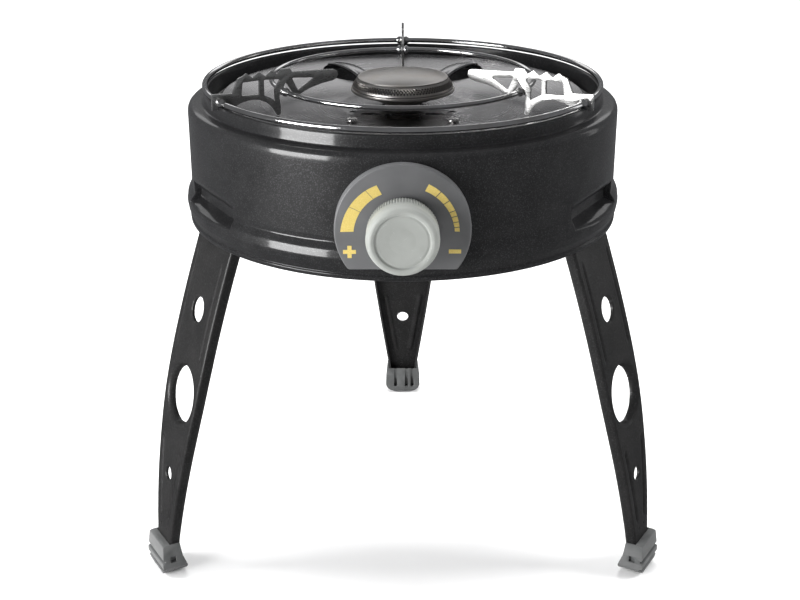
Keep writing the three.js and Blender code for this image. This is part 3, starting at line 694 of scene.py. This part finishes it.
def hood_place(side):
    """Puts something drawn around a hood's middle, x along its length, onto the pan."""
    return (Matrix.Rotation(math.radians(HOOD_BEARING * side - 90), 4, "Z")
            @ Matrix.Translation((HOOD_R, 0, pan_top(HOOD_R)))
            @ Matrix.Rotation(-HOOD_TILT, 4, "Y")
            @ Matrix.Rotation(math.radians(-side * HOOD_TURN), 4, "Z"))


def pan_cuts():
    """Everything that is punched out of the pan."""
    low_z, high_z = PAN_Z - 8, PAN_Z + 8
    window = rounded([(-12, -40, 1), (12, -40, 1), (12, -26, 1), (-12, -26, 1)], True)
    cuts = [prism("tool", window, low_z, high_z, "XY")]
    for side in (-1, 1):
        for front in (-1, 1):
            slot = [(side * 22 + 7 * x, front * 25 + 3 * y) for x, y in arc(1, 0, 345, 23)]
            cuts.append(prism("tool", slot, low_z, high_z, "XY"))
        notch = [(side * 30, -20.6), (side * 38, -20.6), (side * 35, -15.6)]
        cuts.append(prism("tool", notch, low_z, high_z, "XY"))
        mouth = [(20.4 * x, 14.4 * y) for x, y in arc(1, 0, 355, 71)]
        opening = prism("tool", mouth, -5, 5, "XY")
        opening.data.transform(hood_place(side))
        cuts.append(opening)
    for bearing in SCREW_BEARINGS.values():
        hole = turned("tool", [(0, 310), (2.4, 310), (2.4, 330), (0, 330)], 24, centre=(SCREW_AT_R, 0, 0))
        cuts.append(face_bearing(hole, bearing))
    return cuts


def reflector_pan():
    upper = rounded([
        (PAN_RIM_R, LEDGE_Z + GAP), (PAN_RIM_R, PAN_RIM_Z, 1.6), (PAN_RIM_R - 3.0, PAN_RIM_Z - 0.5, 1.5),
        (PAN_KNEE_R, PAN_KNEE_Z, 30), (45, PAN_Z, 30), (15, PAN_Z),
    ], steps=8)
    inside = PAN_RIM_R - 0.5
    lower = [(r, z - PAN_T) if r < inside else (r - PAN_T, z) for r, z in reversed(upper)]
    pan = turned("pan_dish", upper + lower, 192)
    stand_for(boolean(pan, pan_cuts()), "reflector_pan", 30)
    pan_hood("left", -1)
    pan_hood("right", 1)


def pan_hood(name, side):
    """A pressed air hood: a shallow half dome with a rolled lip along its open, forward side."""
    columns = 64
    lip = [(-0.7, -1.5), (-1.5, -1.1), (-1.7, -0.4), (-1.2, 0.15), (-0.5, 0.2)]
    points = []
    for j in range(columns + 1):
        along = math.pi * j / columns
        rise = math.sin(along)
        roll = min(1.0, 2.5 * rise)
        section = [(y * roll, HOOD_HEIGHT * rise + z * roll) for y, z in lip]
        section += [(HOOD_HALF * rise * math.sin(t), HOOD_HEIGHT * rise * math.cos(t))
                    for t in [math.pi / 2 * k / 14 for k in range(15)]]
        points += [(HOOD_LENGTH * math.cos(along), side * y, z) for y, z in section]
    hood = make(f"pan_hood_{name}", points, grid_faces(columns + 1, 20))
    hood.data.transform(hood_place(side))
    settle(thicken(hood, PAN_T, 0, False), "reflector_pan", 50)


def cross_recess(z, size=3.4, width=0.9):
    """The two bars of a screw's cross recess."""
    bars = []
    for a, b in ((size, width), (width, size)):
        outline = [(-a / 2, -b / 2), (a / 2, -b / 2), (a / 2, b / 2), (-a / 2, b / 2)]
        bars.append(prism("tool", outline, z - 1.3, z + 3, "XY"))
    return bars


def pan_fixings():
    for where, bearing in SCREW_BEARINGS.items():
        seat = pan_top(SCREW_AT_R) + 0.9
        end = low(f"pan_screw_{where}").z
        head = rounded([(0, end), (1.9, end), (1.9, seat), (4.4, seat, 0.4), (4.1, seat + 1.6, 1.2),
                        (2.2, seat + 2.3, 1.5), (0, seat + 2.4)])
        screw = boolean(turned(f"pan_screw_head_{where}", head, 48), cross_recess(seat + 2.3))
        stand_for(face_bearing(screw, bearing, SCREW_AT_R), f"pan_screw_{where}")
        foot, top = low(f"pan_post_{where}").z, high(f"pan_post_{where}").z
        ring = rounded([(2.6, foot), (4.5, foot, 0.5), (4.5, foot + 1.6, 0.3), (4.1, foot + 2, 0.3),
                        (4.1, top - 2, 0.3), (4.5, top - 1.6, 0.3), (4.5, top, 0.5), (2.6, top)])
        post = turned(f"spacer_{where}", ring, 48, centre=(SCREW_AT_R, 0, 0))
        stand_for(face_bearing(post, bearing), f"pan_post_{where}")


# ---- burner

def burner_base():
    z = FLANGE_Z
    strap = 299.7
    outline = rounded([
        (8.5, strap - 6), (12, strap - 6, 0.6), (12, strap + GAP), (17, strap + GAP, 0.4),
        (17, strap + 2.5, 0.6), (12, strap + 2.5, 1.2), (12, PAN_Z + 2, 4), (30, z - 3.2, 6),
        (35.4, z - 1.6, 1.5), (BURNER_R, z - 0.9, 0.9), (BURNER_R, z + 1.1, 0.9),
        (35.2, z + 1.1, 0.5), (29, z - 1.6, 4), (8.5, PAN_Z + 4, 4),
    ], closed=True)
    stand_for(turned("burner_cup", outline, 192), "burner_base", 40)


def port_band():
    """The flame ring: a bright net of ribs around three staggered rows of diamond ports."""
    columns, rows = 98, 3
    low_z, high_z = FLANGE_Z + 1.5, CAP_EDGE_Z - 0.2
    margin = 0.13
    height = (1 - 2 * margin) / 2

    def on_band(turn, level, depth=0.0):
        radius = lerp(35.8, CAP_R + 0.2, level ** 1.4) - depth
        angle = 2 * math.pi * turn / columns
        return radius * math.cos(angle), radius * math.sin(angle), lerp(low_z, high_z, level)

    def shrunk(rim, centre, share):
        return [(lerp(centre[0], t, share), lerp(centre[1], v, share)) for t, v in rim]

    net, shaded_pits = [], []
    for i in range(columns):
        for start, end in ((0, margin), (1 - margin, 1)):
            net.append([on_band(t, v) for t, v in ((i, start), (i + 1, start), (i + 1, end), (i, end))])
        for row in range(-1, rows + 1):
            centre = (i + 0.5 * (row % 2), margin + height * (row + 1) / 2)
            rim = [(centre[0] + x, centre[1] + y * height / 2) for x, y in
                   ((0, -1), (0.5, 0), (0, 1), (-0.5, 0))]
            rim = [(t, min(max(v, margin), 1 - margin)) for t, v in rim]
            if row in (-1, rows):
                net.append([on_band(t, v) for t, v in rim])
                continue
            mouth = shrunk(rim, centre, 0.78)
            bottom = [on_band(t, v, 1.8) for t, v in shrunk(rim, centre, 0.6)]
            shaded_pits.append(bottom)
            for k in range(4):
                n = (k + 1) % 4
                net.append([on_band(*rim[k]), on_band(*rim[n]), on_band(*mouth[n], 0.15),
                            on_band(*mouth[k], 0.15)])
                shaded_pits.append([on_band(*mouth[k], 0.15), on_band(*mouth[n], 0.15), bottom[n], bottom[k]])
    stand_for(patches("flame_ports", net), "burner_port_band", 20)
    # the shallow pits are finished near-black: painted shade standing in for the depth of open ports, with
    # some soot
    settle(patches("flame_port_shaded_pits", shaded_pits), "burner_port_band", 20, "port_shade_and_soot")


def patches(name, quads):
    """A mesh of separate four-cornered faces, joined where they touch."""
    points = [corner for quad in quads for corner in quad]
    return make(name, points, [tuple(range(4 * i, 4 * i + 4)) for i in range(len(quads))])


def burner_cap():
    rise = CAP_TOP_Z - CAP_EDGE_Z
    dome = [(CAP_R * (1 - k / 40), CAP_EDGE_Z + rise * (1 - (1 - k / 40) ** 2.3)) for k in range(41)]
    edge = rounded([(CAP_R - 1.6, CAP_EDGE_Z - 0.1), (CAP_R + 0.1, CAP_EDGE_Z - 0.1, 0.3),
                    (CAP_R, CAP_EDGE_Z + 0.5, 0.4), dome[2]])
    underside = [(r * 0.95, z - 1.0) for r, z in reversed(dome)]
    stand_for(turned("burner_lid", edge + dome[3:] + underside, 192), "burner_cap", 40)


# ---- gas line

def bend(start, corner, end, reach, steps=12):
    """A path of two straight runs with a rounded corner."""
    start, corner, end = Vector(start), Vector(corner), Vector(end)
    a = corner + (start - corner).normalized() * reach
    b = corner + (end - corner).normalized() * reach
    curve = [a * (1 - t) ** 2 + corner * 2 * t * (1 - t) + b * t ** 2 for t in
             [k / steps for k in range(steps + 1)]]
    return [start, *curve, end]


def gas_line():
    mouth = low("mixing_tube").y
    path = bend((0, 0, FLANGE_Z - 14), (0, 0, KNOB_Z), (0, mouth, KNOB_Z), 16)
    stand_for(tube("venturi_tube", path, 8, 6.5, 48), "mixing_tube", 40)
    y = low("gas_jet").y
    back = high("gas_jet").y
    jet = rounded([(0.8, y), (5.4, y, 0.3), (5.4, y + 4, 0.3), (3.6, y + 4.6), (3.2, back - 1.5),
                   (2, back, 0.4), (0.8, back)])
    stand_for(turned("jet", jet, 64, "Y", (0, 0, KNOB_Z)), "gas_jet")
    inlet = (low("hose_tail") + high("hose_tail")) / 2
    x0 = low("inlet_pipe").x
    nut_z = low("inlet_nut").z
    pipe = bend((x0, inlet.y, KNOB_Z), (inlet.x, inlet.y, KNOB_Z), (inlet.x, inlet.y, nut_z), 12)
    stand_for(tube("feed_pipe", pipe, 4, 2.6), "inlet_pipe", 40)
    end, top = low("hose_tail").z, high("hose_tail").z
    barbs = []
    for k in range(2):
        barbs += [(3.5, end + 4.5 * k, 0.2), (4.5, end + 4.5 * k + 3.4, 0.3)]
    tail = rounded([(2.4, end), *barbs, (3.8, end + 9.5, 0.3), (3.8, top - 5, 0.6), (7, top - 5, 0.5),
                    (7, top, 0.4), (2.4, top)])
    stand_for(turned("barbed_tail", tail, 64, centre=(inlet.x, inlet.y, 0)), "hose_tail")
    hex_nut("inlet_nut", 9.4, 4.5, 7, (inlet.x, inlet.y, nut_z), False)
    hex_nut("valve_nut", 10.5, 7.3, 3, (0, DIAL_Y - GAP, KNOB_Z), True)


def hex_nut(node, corner, bore, height, place, facing_front):
    """A six-sided nut with its corners chamfered."""
    hexagon = prism(f"{node}_turned", arc(corner, 0, 300, 5), 0, height, "XY")
    chamfers = [(0, 0), (corner - 1, 0), (corner + 0.1, 0.7), (corner + 0.1, height - 0.7),
                (corner - 1, height), (0, height)]
    dome = turned("tool", chamfers, 64)
    boolean(hexagon, [dome], "INTERSECT")
    boolean(hexagon, [turned("tool", [(0, -1), (bore, -1), (bore, height + 1), (0, height + 1)], 48)])
    soften(hexagon, 0.25, 2)
    if facing_front:
        hexagon.data.transform(Matrix.Rotation(math.pi / 2, 4, "X"))
    hexagon.data.transform(Matrix.Translation(place))
    stand_for(hexagon, node)


# ---- dial and knob

def drum_solid(grow):
    """The drum's outer form as a closed solid, to cut the dial's back."""
    wall = [(r + grow, z) for r, z in rounded(SHELL_CORNERS[1:12])]
    return turned("tool", [(0, LIP_Z - 2), (wall[0][0], LIP_Z - 2), *wall, (0, wall[-1][1])], 360)


def dial_plate():
    drop = KNOB_Z - DIAL_FLAT_Z
    flat = math.degrees(math.asin(drop / DIAL_R))
    outline = arc(DIAL_R, -flat, 180 + flat, 160, (0, KNOB_Z))
    plate = prism("dial_face", outline, DIAL_Y, DIAL_Y + 20)
    soften(plate, 1.1, 4, 30)
    boss = turned("tool", [(0, -162), (7.6, -162), (7.6, -130), (0, -130)], 48, "Y", (0, 0, KNOB_Z))
    boolean(plate, [drum_solid(GAP), boss])
    stand_for(plate, "dial_plate", 30)


def print_mark(name, outline):
    """One gold mark, printed a hair proud of the dial."""
    mark = prism(name, [(x, KNOB_Z + z) for x, z in outline], DIAL_Y - 0.12, DIAL_Y + 0.05)
    settle(mark, "dial_plate", 30, "gold_print")


def bar_outline(start, end, base, inner, outer):
    """A bar between two angles; inner and outer hold the radii at base and at 62 degrees past it."""
    steps = max(2, round(abs(end - start) / 2))
    line = []
    for radii, first, last in ((outer, start, end), (inner, end, start)):
        for k in range(steps + 1):
            angle = lerp(first, last, k / steps)
            radius = lerp(*radii, (angle - base) / 62)
            line.append((radius * math.cos(math.radians(angle)), radius * math.sin(math.radians(angle))))
    return line


def dial_marks():
    """The flame bars, wide for a high flame and narrow for a low one, with a plus and a minus."""
    high_bounds = [118.5, 131.5, 155, 181.5]
    low_bounds = [-1.5, 3.6, 9.3, 15.7, 21.9, 33.9, 46.6, 62]
    high_gap, low_gap = 0.6, 0.96
    for k, (start, end) in enumerate(zip(high_bounds, high_bounds[1:])):
        bar = bar_outline(start, end - high_gap, 118, (26.6, 30.2), (33.2, 38.3))
        print_mark(f"high_bar_{k + 1}", bar)
    for k, (start, end) in enumerate(zip(low_bounds, low_bounds[1:])):
        bar = bar_outline(start + low_gap, end, 0, (32.0, 29.0), (35.0, 33.9))
        print_mark(f"low_bar_{k + 1}", bar)
    arm, half = 4.0, 1.3
    plus = [(-half, -arm), (half, -arm), (half, -half), (arm, -half), (arm, half), (half, half),
            (half, arm), (-half, arm), (-half, half), (-arm, half), (-arm, -half), (-half, -half)]
    print_mark("plus_mark", [(x - 32.9, z - 13.7) for x, z in plus])
    minus = [(-3.8, -half), (3.8, -half), (3.8, half), (-3.8, half)]
    print_mark("minus_mark", [(x + 32.3, z - 13.4) for x, z in minus])


def control_knob():
    """A round knob: fine ribs at the back of its rim, a rolled edge and a dished face."""
    ribs, points_per_rib, rib_depth = 80, 6, 0.55
    front, back = KNOB_FRONT_Y, KNOB_BACK_Y
    hub_end, inside = -162.4, -168
    outer = dense(rounded([
        (19.4, back), (KNOB_R - 0.2, back, 0.6), (KNOB_R, front + 5, 3), (KNOB_R - 1.4, front + 0.7, 2.4),
        (19.2, front, 1.6), (17.6, front + 0.4, 0.8), (16.7, front + 1.7, 0.8), (15.2, front + 1.5, 1),
        (8, front + 2.1, 6), (0, front + 2.3),
    ], steps=6), 0.9)
    inner = [(0, front + 4.2), (3.3, front + 4.2), (3.3, hub_end), (7, hub_end), (7, inside),
             (18.4, inside), (19.4, back)]
    outline = outer + inner[:-1]
    steps = ribs * points_per_rib
    points = []
    for i in range(steps):
        angle = 2 * math.pi * i / steps
        wave = max(0.0, math.cos(ribs * angle)) ** 0.5
        for k, (radius, y) in enumerate(outline):
            if k < len(outer) and radius > KNOB_R - 0.6:
                reach = smoothstep((front + 9 - y) / -4)
                radius -= rib_depth * (1 - wave) * reach
            points.append((radius * math.cos(angle), y, KNOB_Z + radius * math.sin(angle)))
    knob = make("knob", points, grid_faces(steps, len(outline), True, True))
    stand_for(knob, "control_knob", 45)


def valve_spindle():
    front, back = -171, high("valve_spindle").y
    stem = [(0, front), (2.6, front), (3, front + 0.6), (3, back), (0, back)]
    stand_for(turned("spindle", stem, 48, "Y", (0, 0, KNOB_Z)), "valve_spindle")


def dial_screws():
    seat, top = -145.2, -143.2
    shape = rounded([(0, DIAL_Y + 3), (1.5, DIAL_Y + 3), (1.5, seat), (3.3, seat, 0.2),
                     (3.1, top - 0.2, 0.8), (0, top)])
    for name, side in (("left", -1), ("right", 1)):
        screw = turned(f"dial_fixing_{name}", shape, 32, "Y", (side * 30, 0, KNOB_Z))
        stand_for(screw, f"dial_screw_{name}")


# ---- pot stand

def wire_ring(node, name, radius, wire, z, joint_bearing):
    """A wire ring, swollen by a weld beside each fin and at its own joint."""
    steps, sides = 540, 20
    points = []
    for i in range(steps):
        angle = 2 * math.pi * i / steps

        def arc_from(bearing):
            return abs(math.radians(turn_from(math.degrees(angle), bearing))) * radius

        welds = [1.35 * math.exp(-((arc_from(bearing) - 2.5) / 1.3) ** 4) for bearing in SIDES.values()]
        joint = 0.28 * math.exp(-(arc_from(joint_bearing) / 1.3) ** 2)
        thick = wire + max(joint, *welds)
        for k in range(sides):
            around = 2 * math.pi * k / sides
            reach = radius + thick * math.cos(around)
            points.append((reach * math.cos(angle), reach * math.sin(angle), z + thick * math.sin(around)))
    stand_for(make(name, points, grid_faces(steps, sides, True, True)), node, 60)


def serrated(start, end, teeth, depth):
    """Fine teeth along an edge."""
    line = []
    for k in range(teeth):
        for part, sink in ((0.15, 0), (0.5, 0), (0.65, depth), (0.95, depth)):
            t = (k + part) / teeth
            line.append((lerp(start[0], end[0], t), lerp(start[1], end[1], t) - sink))
    return line


def fin_outline():
    """A fin from its outer end over the teeth to its inner end and back along the bottom."""
    top = FIN_TOP_Z
    slot_r = OUTER_WIRE_R + 0.4
    slot = arc(slot_r, 180, 0, 10, (OUTER_RING_R, OUTER_RING_Z))
    return [
        *rounded([(144.6, 333.2, 0.5), (144.6, 344.1, 0.7), (129.8, 342.9, 1.5), (125.5, 352.2, 0.6),
                  (121.6, 353.6, 0.6), (119.3, top - 0.1, 0.45), (114.9, top - 3.5, 0.6),
                  (110.1, top - 0.1, 0.45), (105.6, top - 3.5, 0.6), (100.8, top - 0.1, 0.45),
                  (97.0, top - 3.2, 0.6), (94, top, 0.4), (87.6, top, 0.5), (86.2, 352.7, 0.6),
                  (85.0, 352.6)]),
        *serrated((84.6, 352.7), (56.0, 351.2), 14, 0.45),
        *rounded([(55, 351.1), (52.2, 349.8, 1.2), (51.6, 347, 1.2), (53, 344.4, 1.2), (56, 343.3, 2),
                  (64, 342.4, 6), (73, 340.2, 6), (80, 337.2, 4), (83.8, 335.2, 0.5), (91, 346.2, 0.9),
                  (95.9, 338, 0.8), (95.2, 325.8, 0.6), (96.2, 324.4, 0.6), (97.8, 324.4, 0.6),
                  (99, 326, 0.6), (101.5, 330.4, 4), (105.5, 334, 5), (111, 336.6, 8), (117, 337.2, 8),
                  (124, 336, 8), (130.5, 333.2, 2), (OUTER_RING_R - slot_r, 333.2)]),
        *slot,
        (OUTER_RING_R + slot_r, 333.2),
    ]


# corners of the three openings in a fin
FIN_WINDOWS = [
    [(122.3, 349.4, 0.8), (110.3, 349.6, 0.8), (110.6, 340.2, 0.8), (123.6, 340.8, 0.8)],
    [(107, 349.6, 0.8), (95, 348.6, 0.8), (99.2, 342.6, 0.8), (99.2, 334.6, 0.5), (103, 337, 2),
     (107, 339.2, 0.6)],
    [(86.4, 348.6, 0.8), (69.6, 347, 0.6), (82.2, 339.8, 0.8)],
]


def pot_fins():
    for where, bearing in SIDES.items():
        fin = prism(f"toothed_fin_{where}", fin_outline(), -FIN_T / 2, FIN_T / 2)
        boolean(fin, [prism("tool", rounded(window, True), -3, 3) for window in FIN_WINDOWS])
        soften(fin, 0.22, 2, 50)
        stand_for(face_bearing(fin, bearing), f"pot_fin_{where}", 30)


# ---- legs

def leg_point(z):
    """The leg's outer face at a height: (distance from the axis, height)."""
    if z >= LEG_TOP.y:
        slope = (LEG_BOW.x - LEG_TOP.x) / (LEG_BOW.y - LEG_TOP.y)
        return Vector((LEG_TOP.x + (z - LEG_TOP.y) * slope, z))
    a = LEG_TOP.y - 2 * LEG_BOW.y + LEG_END.y
    b = 2 * (LEG_BOW.y - LEG_TOP.y)
    c = LEG_TOP.y - z
    t = 2 * c / (-b + math.sqrt(b * b - 4 * a * c))
    return LEG_TOP * (1 - t) ** 2 + LEG_BOW * 2 * t * (1 - t) + LEG_END * t ** 2


def leg_inward(z):
    """Direction square to the leg's face, towards its hollow side."""
    along = (leg_point(z - 1) - leg_point(z + 1)).normalized()
    return Vector((along.y, -along.x))


def leg_half(z):
    """Half width of the leg, smoothed along its length."""
    return sum(between(LEG_WIDTHS, z + shift) for shift in (-6, -3, 0, 3, 6)) / 5


def groove(distance, half_width, depth):
    return depth * math.exp(-(distance / half_width) ** 2 * 1.4)


def leg_relief(y, z):
    """How far the face is pressed inward: ribs, pips and the rounded edges of the holes."""
    sunk = 0.0
    ends = smoothstep((z - 163) / 6) * smoothstep((236 - z) / 6)
    sunk = max(sunk, groove(abs(y) - 20.6, 1.5, 0.9) * ends)
    ends = smoothstep((z - 38) / 6) * smoothstep((101 - z) / 6)
    sunk = max(sunk, groove(abs(y) - lerp(6, 15.8, (z - 38) / 62), 1.9, 1.3) * ends)
    sunk = max(sunk, 0.6 * math.exp(-((abs(y) - 4.6) ** 2 + (z - 34.5) ** 2) / 0.8))
    for radius, level, edge in LEG_HOLES:
        away = math.hypot(y, (z - level) * 1.03) - radius
        if away < edge:
            inner = min(edge, edge - max(away, 0.0))
            sunk = max(sunk, edge - math.sqrt(max(0.0, edge * edge - inner * inner)))
    return sunk


def leg_section(half):
    """Across one leg: (y, depth) from one flange's tip over the face to the other's."""
    corner = 2.0
    flange = [(half, LEG_DEPTH), (half, 5.5), (half, 3.6), (half, corner)]
    bend_line = [(half - corner + corner * math.cos(a), corner - corner * math.sin(a))
                 for a in [math.pi / 2 * k / 5 for k in range(1, 6)]]
    side = flange + bend_line
    columns = 62
    face = [(lerp(half - corner, corner - half, k / columns), 0.0) for k in range(1, columns)]
    return side + face + [(-y, depth) for y, depth in reversed(side)]


def leg_skin(name):
    rows = 330
    points = []
    for i in range(rows + 1):
        z = lerp(256, 5, i / rows)
        place, inward = leg_point(z), leg_inward(z)
        for y, depth in leg_section(leg_half(z)):
            depth += leg_relief(y, z) if depth == 0 else 0
            spot = place + inward * depth
            points.append((spot.x, y, spot.y))
    columns = len(leg_section(20))
    skin = make(name, points, grid_faces(rows + 1, columns))
    face_outward(skin, 180)
    return thicken(skin, LEG_T)


def leg_bore(radius, z):
    """A round tool square to the leg's face at height z."""
    tool = turned("tool", [(0, -22), (radius, -22), (radius, 22), (0, 22)], 72, "X")
    inward = leg_inward(z)
    place = leg_point(z)
    tilt = math.atan2(inward.y, -inward.x)
    tool.data.transform(Matrix.Translation((place.x, 0, place.y)) @ Matrix.Rotation(tilt, 4, "Y"))
    return tool


def leg_plate(where, bearing):
    leg = leg_skin(f"folding_leg_{where}")
    knuckle = prism("tool", [
        *arc(5, 20, 200, 24, (PIN_X, PIN_Z)), (PIN_X - 30, PIN_Z), (PIN_X - 30, PIN_Z + 20),
        (PIN_X + 30, PIN_Z + 20), (PIN_X + 30, PIN_Z),
    ], -45, 45)
    pin_hole = prism("tool", arc(2.4, 0, 345, 23, (PIN_X, PIN_Z)), -40, 40)
    boolean(leg, [knuckle, pin_hole, *[leg_bore(radius, z) for radius, z, _ in LEG_HOLES]])
    stand_for(face_bearing(leg, bearing), f"leg_{where}", 38)


def loft(name, sections):
    """A closed solid through sections with the same number of points."""
    count = len(sections[0])
    points = [p for section in sections for p in section]
    faces = grid_faces(len(sections), count, wrap_columns=True)
    faces += [tuple(range(count)), tuple(range(len(points) - 1, len(points) - count - 1, -1))]
    return make(name, points, faces)


def foot_pocket():
    """The room inside a foot for the leg's end."""
    sections = []
    for z in (50, 45, 40, 35, 30, 25, 20, 15, 10, 5 - GAP):
        place, inward = leg_point(z), leg_inward(z)
        outer, inner = place - inward * GAP, place + inward * (LEG_DEPTH + GAP)
        half = leg_half(z) + GAP
        sections.append([(outer.x, -half, outer.y), (outer.x, half, outer.y),
                         (inner.x, half, inner.y), (inner.x, -half, inner.y)])
    return loft("tool", sections)


def foot_boot(where, bearing):
    """A rubber boot: grooved face, curved sole, spread heel, slots inside, a window in each side."""
    out, inn, top, half = FOOT_OUT_X, FOOT_IN_X, FOOT_TOP_Z, FOOT_HALF
    side = rounded([
        (195, 0), (out - 4, 0, 3), (out - 0.9, 1.7, 3), (out - 0.2, 5.4, 1.2), (out - 2.2, 5.9, 0.5),
        (out - 2.2, 6.9, 0.5), (out, 7.5, 0.8), (out, 12.1, 1.0), (out - 2.2, 12.7, 0.5),
        (out - 2.2, 13.8, 0.5), (out - 0.5, 14.6, 1.0), (out - 1.5, top - 0.5, 1.6),
        (out - 3.6, top, 1.2), (inn + 4.9, top, 0.9), (inn + 3.7, 15.4, 5), (inn + 0.4, 6.6, 4),
        (inn, 1.6, 3), (inn + 2.6, 0, 3),
    ], closed=True, steps=5)
    sole = [(half * math.sin(t), 9.0 * (1 - math.cos(t)) ** 1.15) for t in
            [math.pi / 2 * k / 16 for k in range(17)]]
    rim = sole + [(half, 11), (half - 0.5, 17), (half - 1.7, top + 1)]
    front = rim + [(-y, z) for y, z in reversed(rim[1:])]
    boot = prism(f"rubber_foot_{where}", side, -30, 30)
    boolean(boot, [prism("tool", front, 150, 240, "YZ")], "INTERSECT")
    cuts = [foot_pocket()]
    for y in (-8.6, -3.4, 6.6):
        slot = rounded([(y - 1.5, 6.0, 0.6), (y + 1.5, 6.0, 0.6), (y + 0.8, 30), (y - 0.8, 30)], True)
        cuts.append(prism("tool", slot, inn - 5, inn + 4.6, "YZ"))
    window = rounded([(196.6, 11.6, 0.4), (201.2, 11.6, 0.4), (201.2, 16.2, 0.4), (196.6, 16.2, 0.4)], True)
    for sign in (-1, 1):
        near, far = sorted((sign * (half - 2.4), sign * (half + 4)))
        cuts.append(prism("tool", window, near, far))
    boolean(boot, cuts)
    soften(boot, 0.5, 3, 40)
    stand_for(face_bearing(boot, bearing), f"foot_{where}", 36)


def hinge_pin(where, bearing):
    """A pin with a riveted head at each end."""
    half = 29.8
    tip = half + 1.9
    head = rounded([(2, half - 1), (2, half + GAP), (3.4, half + GAP, 0.3), (3.2, tip, 0.8), (0, tip)])
    outline = [(radius, -y) for radius, y in reversed(head)] + head
    pin = turned(f"rivet_pin_{where}", outline, 40, "Y", (PIN_X, 0, PIN_Z))
    stand_for(face_bearing(pin, bearing), f"hinge_pin_{where}")


def legs():
    for where, bearing in SIDES.items():
        leg_plate(where, bearing)
        foot_boot(where, bearing)
        hinge_pin(where, bearing)


# ---- CAD nodes that stay

def keep_nodes():
    """Plain stampings keep their CAD shape, with rounded edges and a real finish."""
    kept = ["burner_strap", "valve_body"] + [f"leg_bracket_{where}" for where in SIDES]
    for node in kept:
        obj = frame["nodes"][node]
        weld = obj.modifiers.new("weld", "WELD")
        weld.merge_threshold = 0.00001
        add_bevel(obj, 0.3 * MM, 2, 50)
        use_finish(obj, SLOT_OF[node])


# ---- stage

def floor():
    """A plain pale floor that meets the feet."""
    half = 9.0
    mesh = bpy.data.meshes.new("floor")
    corners = [(-half, -half, 0), (half, -half, 0), (half, half, 0), (-half, half, 0)]
    mesh.from_pydata(corners, [], [(0, 1, 2, 3)])
    obj = add("floor", mesh)
    made = Finish("floor_paint", Base_Color=(0.93, 0.93, 0.93, 1), Specular_IOR_Level=0.1)
    made.rough(made.spread(made.noise(3, 2.0), 0.75, 0.9))
    mesh.materials.append(made.material)
    obj.visible_glossy = False


# Name, place and size in metres, power in watts. The floor lights whiten the floor and aren't mirrored
# in the coat or the chrome; the object lights draw the highlights.
FLOOR_LIGHTS = [
    ("top_light", (0, 0.35, 2.4), (1.8, 1.4), 32),
    ("far_light", (0, 2.5, 3.0), (2.4, 1.2), 90),
    ("left_fill", (-2.0, -0.1, 1.2), (0.8, 0.8), 44),
    ("right_fill", (2.0, -0.1, 1.2), (0.8, 0.8), 44),
]
OBJECT_LIGHTS = [
    ("left_softbox", (-1.25, -1.0, 0.42), (0.9, 0.8), 36),
    ("right_strip", (1.25, 0.45, 0.5), (0.2, 0.8), 0.5),
    ("rear_band", (0, 1.7, 1.15), (2.2, 0.5), 3.8),
]


def softbox(name, place, target, size, power):
    data = bpy.data.lights.new(name, "AREA")
    data.shape = "RECTANGLE"
    data.size, data.size_y = size
    data.energy = power
    obj = add(name, data)
    obj.location = place
    obj.rotation_euler = (Vector(target) - Vector(place)).to_track_quat("-Z", "Y").to_euler()
    obj.visible_camera = False
    return obj


def lights():
    world = bpy.data.worlds.new("studio")
    world.use_nodes = True
    background = world.node_tree.nodes["Background"]
    background.inputs["Color"].default_value = (0.96, 0.97, 1.0, 1)
    background.inputs["Strength"].default_value = 0.15
    bpy.context.scene.world = world
    for name, place, size, power in FLOOR_LIGHTS:
        softbox(name, place, (place[0] * 0.1, place[1] * 0.8, 0), size, power).visible_glossy = False
    for name, place, size, power in OBJECT_LIGHTS:
        softbox(name, place, (0, AXIS_Y, 0.3), size, power)


def camera():
    """Looks down at the front, from a distance in metres ahead of the burner's axis."""
    distance, height, look_down = 0.9372, 0.552, 22.205
    data = bpy.data.cameras.new("camera")
    data.lens = 60.54
    data.sensor_width = 36
    data.shift_x = -0.0034
    data.clip_start = 0.02
    obj = add("camera", data)
    obj.location = (0, AXIS_Y - distance, height)
    obj.rotation_euler = (math.radians(90 - look_down), 0, 0)
    bpy.context.scene.camera = obj


camera()
lights()
floor()
body_shell()
reflector_pan()
pan_fixings()
burner_base()
port_band()
burner_cap()
gas_line()
dial_plate()
dial_marks()
control_knob()
valve_spindle()
dial_screws()
wire_ring("outer_ring", "outer_wire", OUTER_RING_R, OUTER_WIRE_R, OUTER_RING_Z, -3.5)
wire_ring("inner_ring", "inner_wire", INNER_RING_R, INNER_WIRE_R, INNER_RING_Z, 150)
pot_fins()
legs()
keep_nodes()
bpy.context.scene.view_settings.view_transform = "Standard"
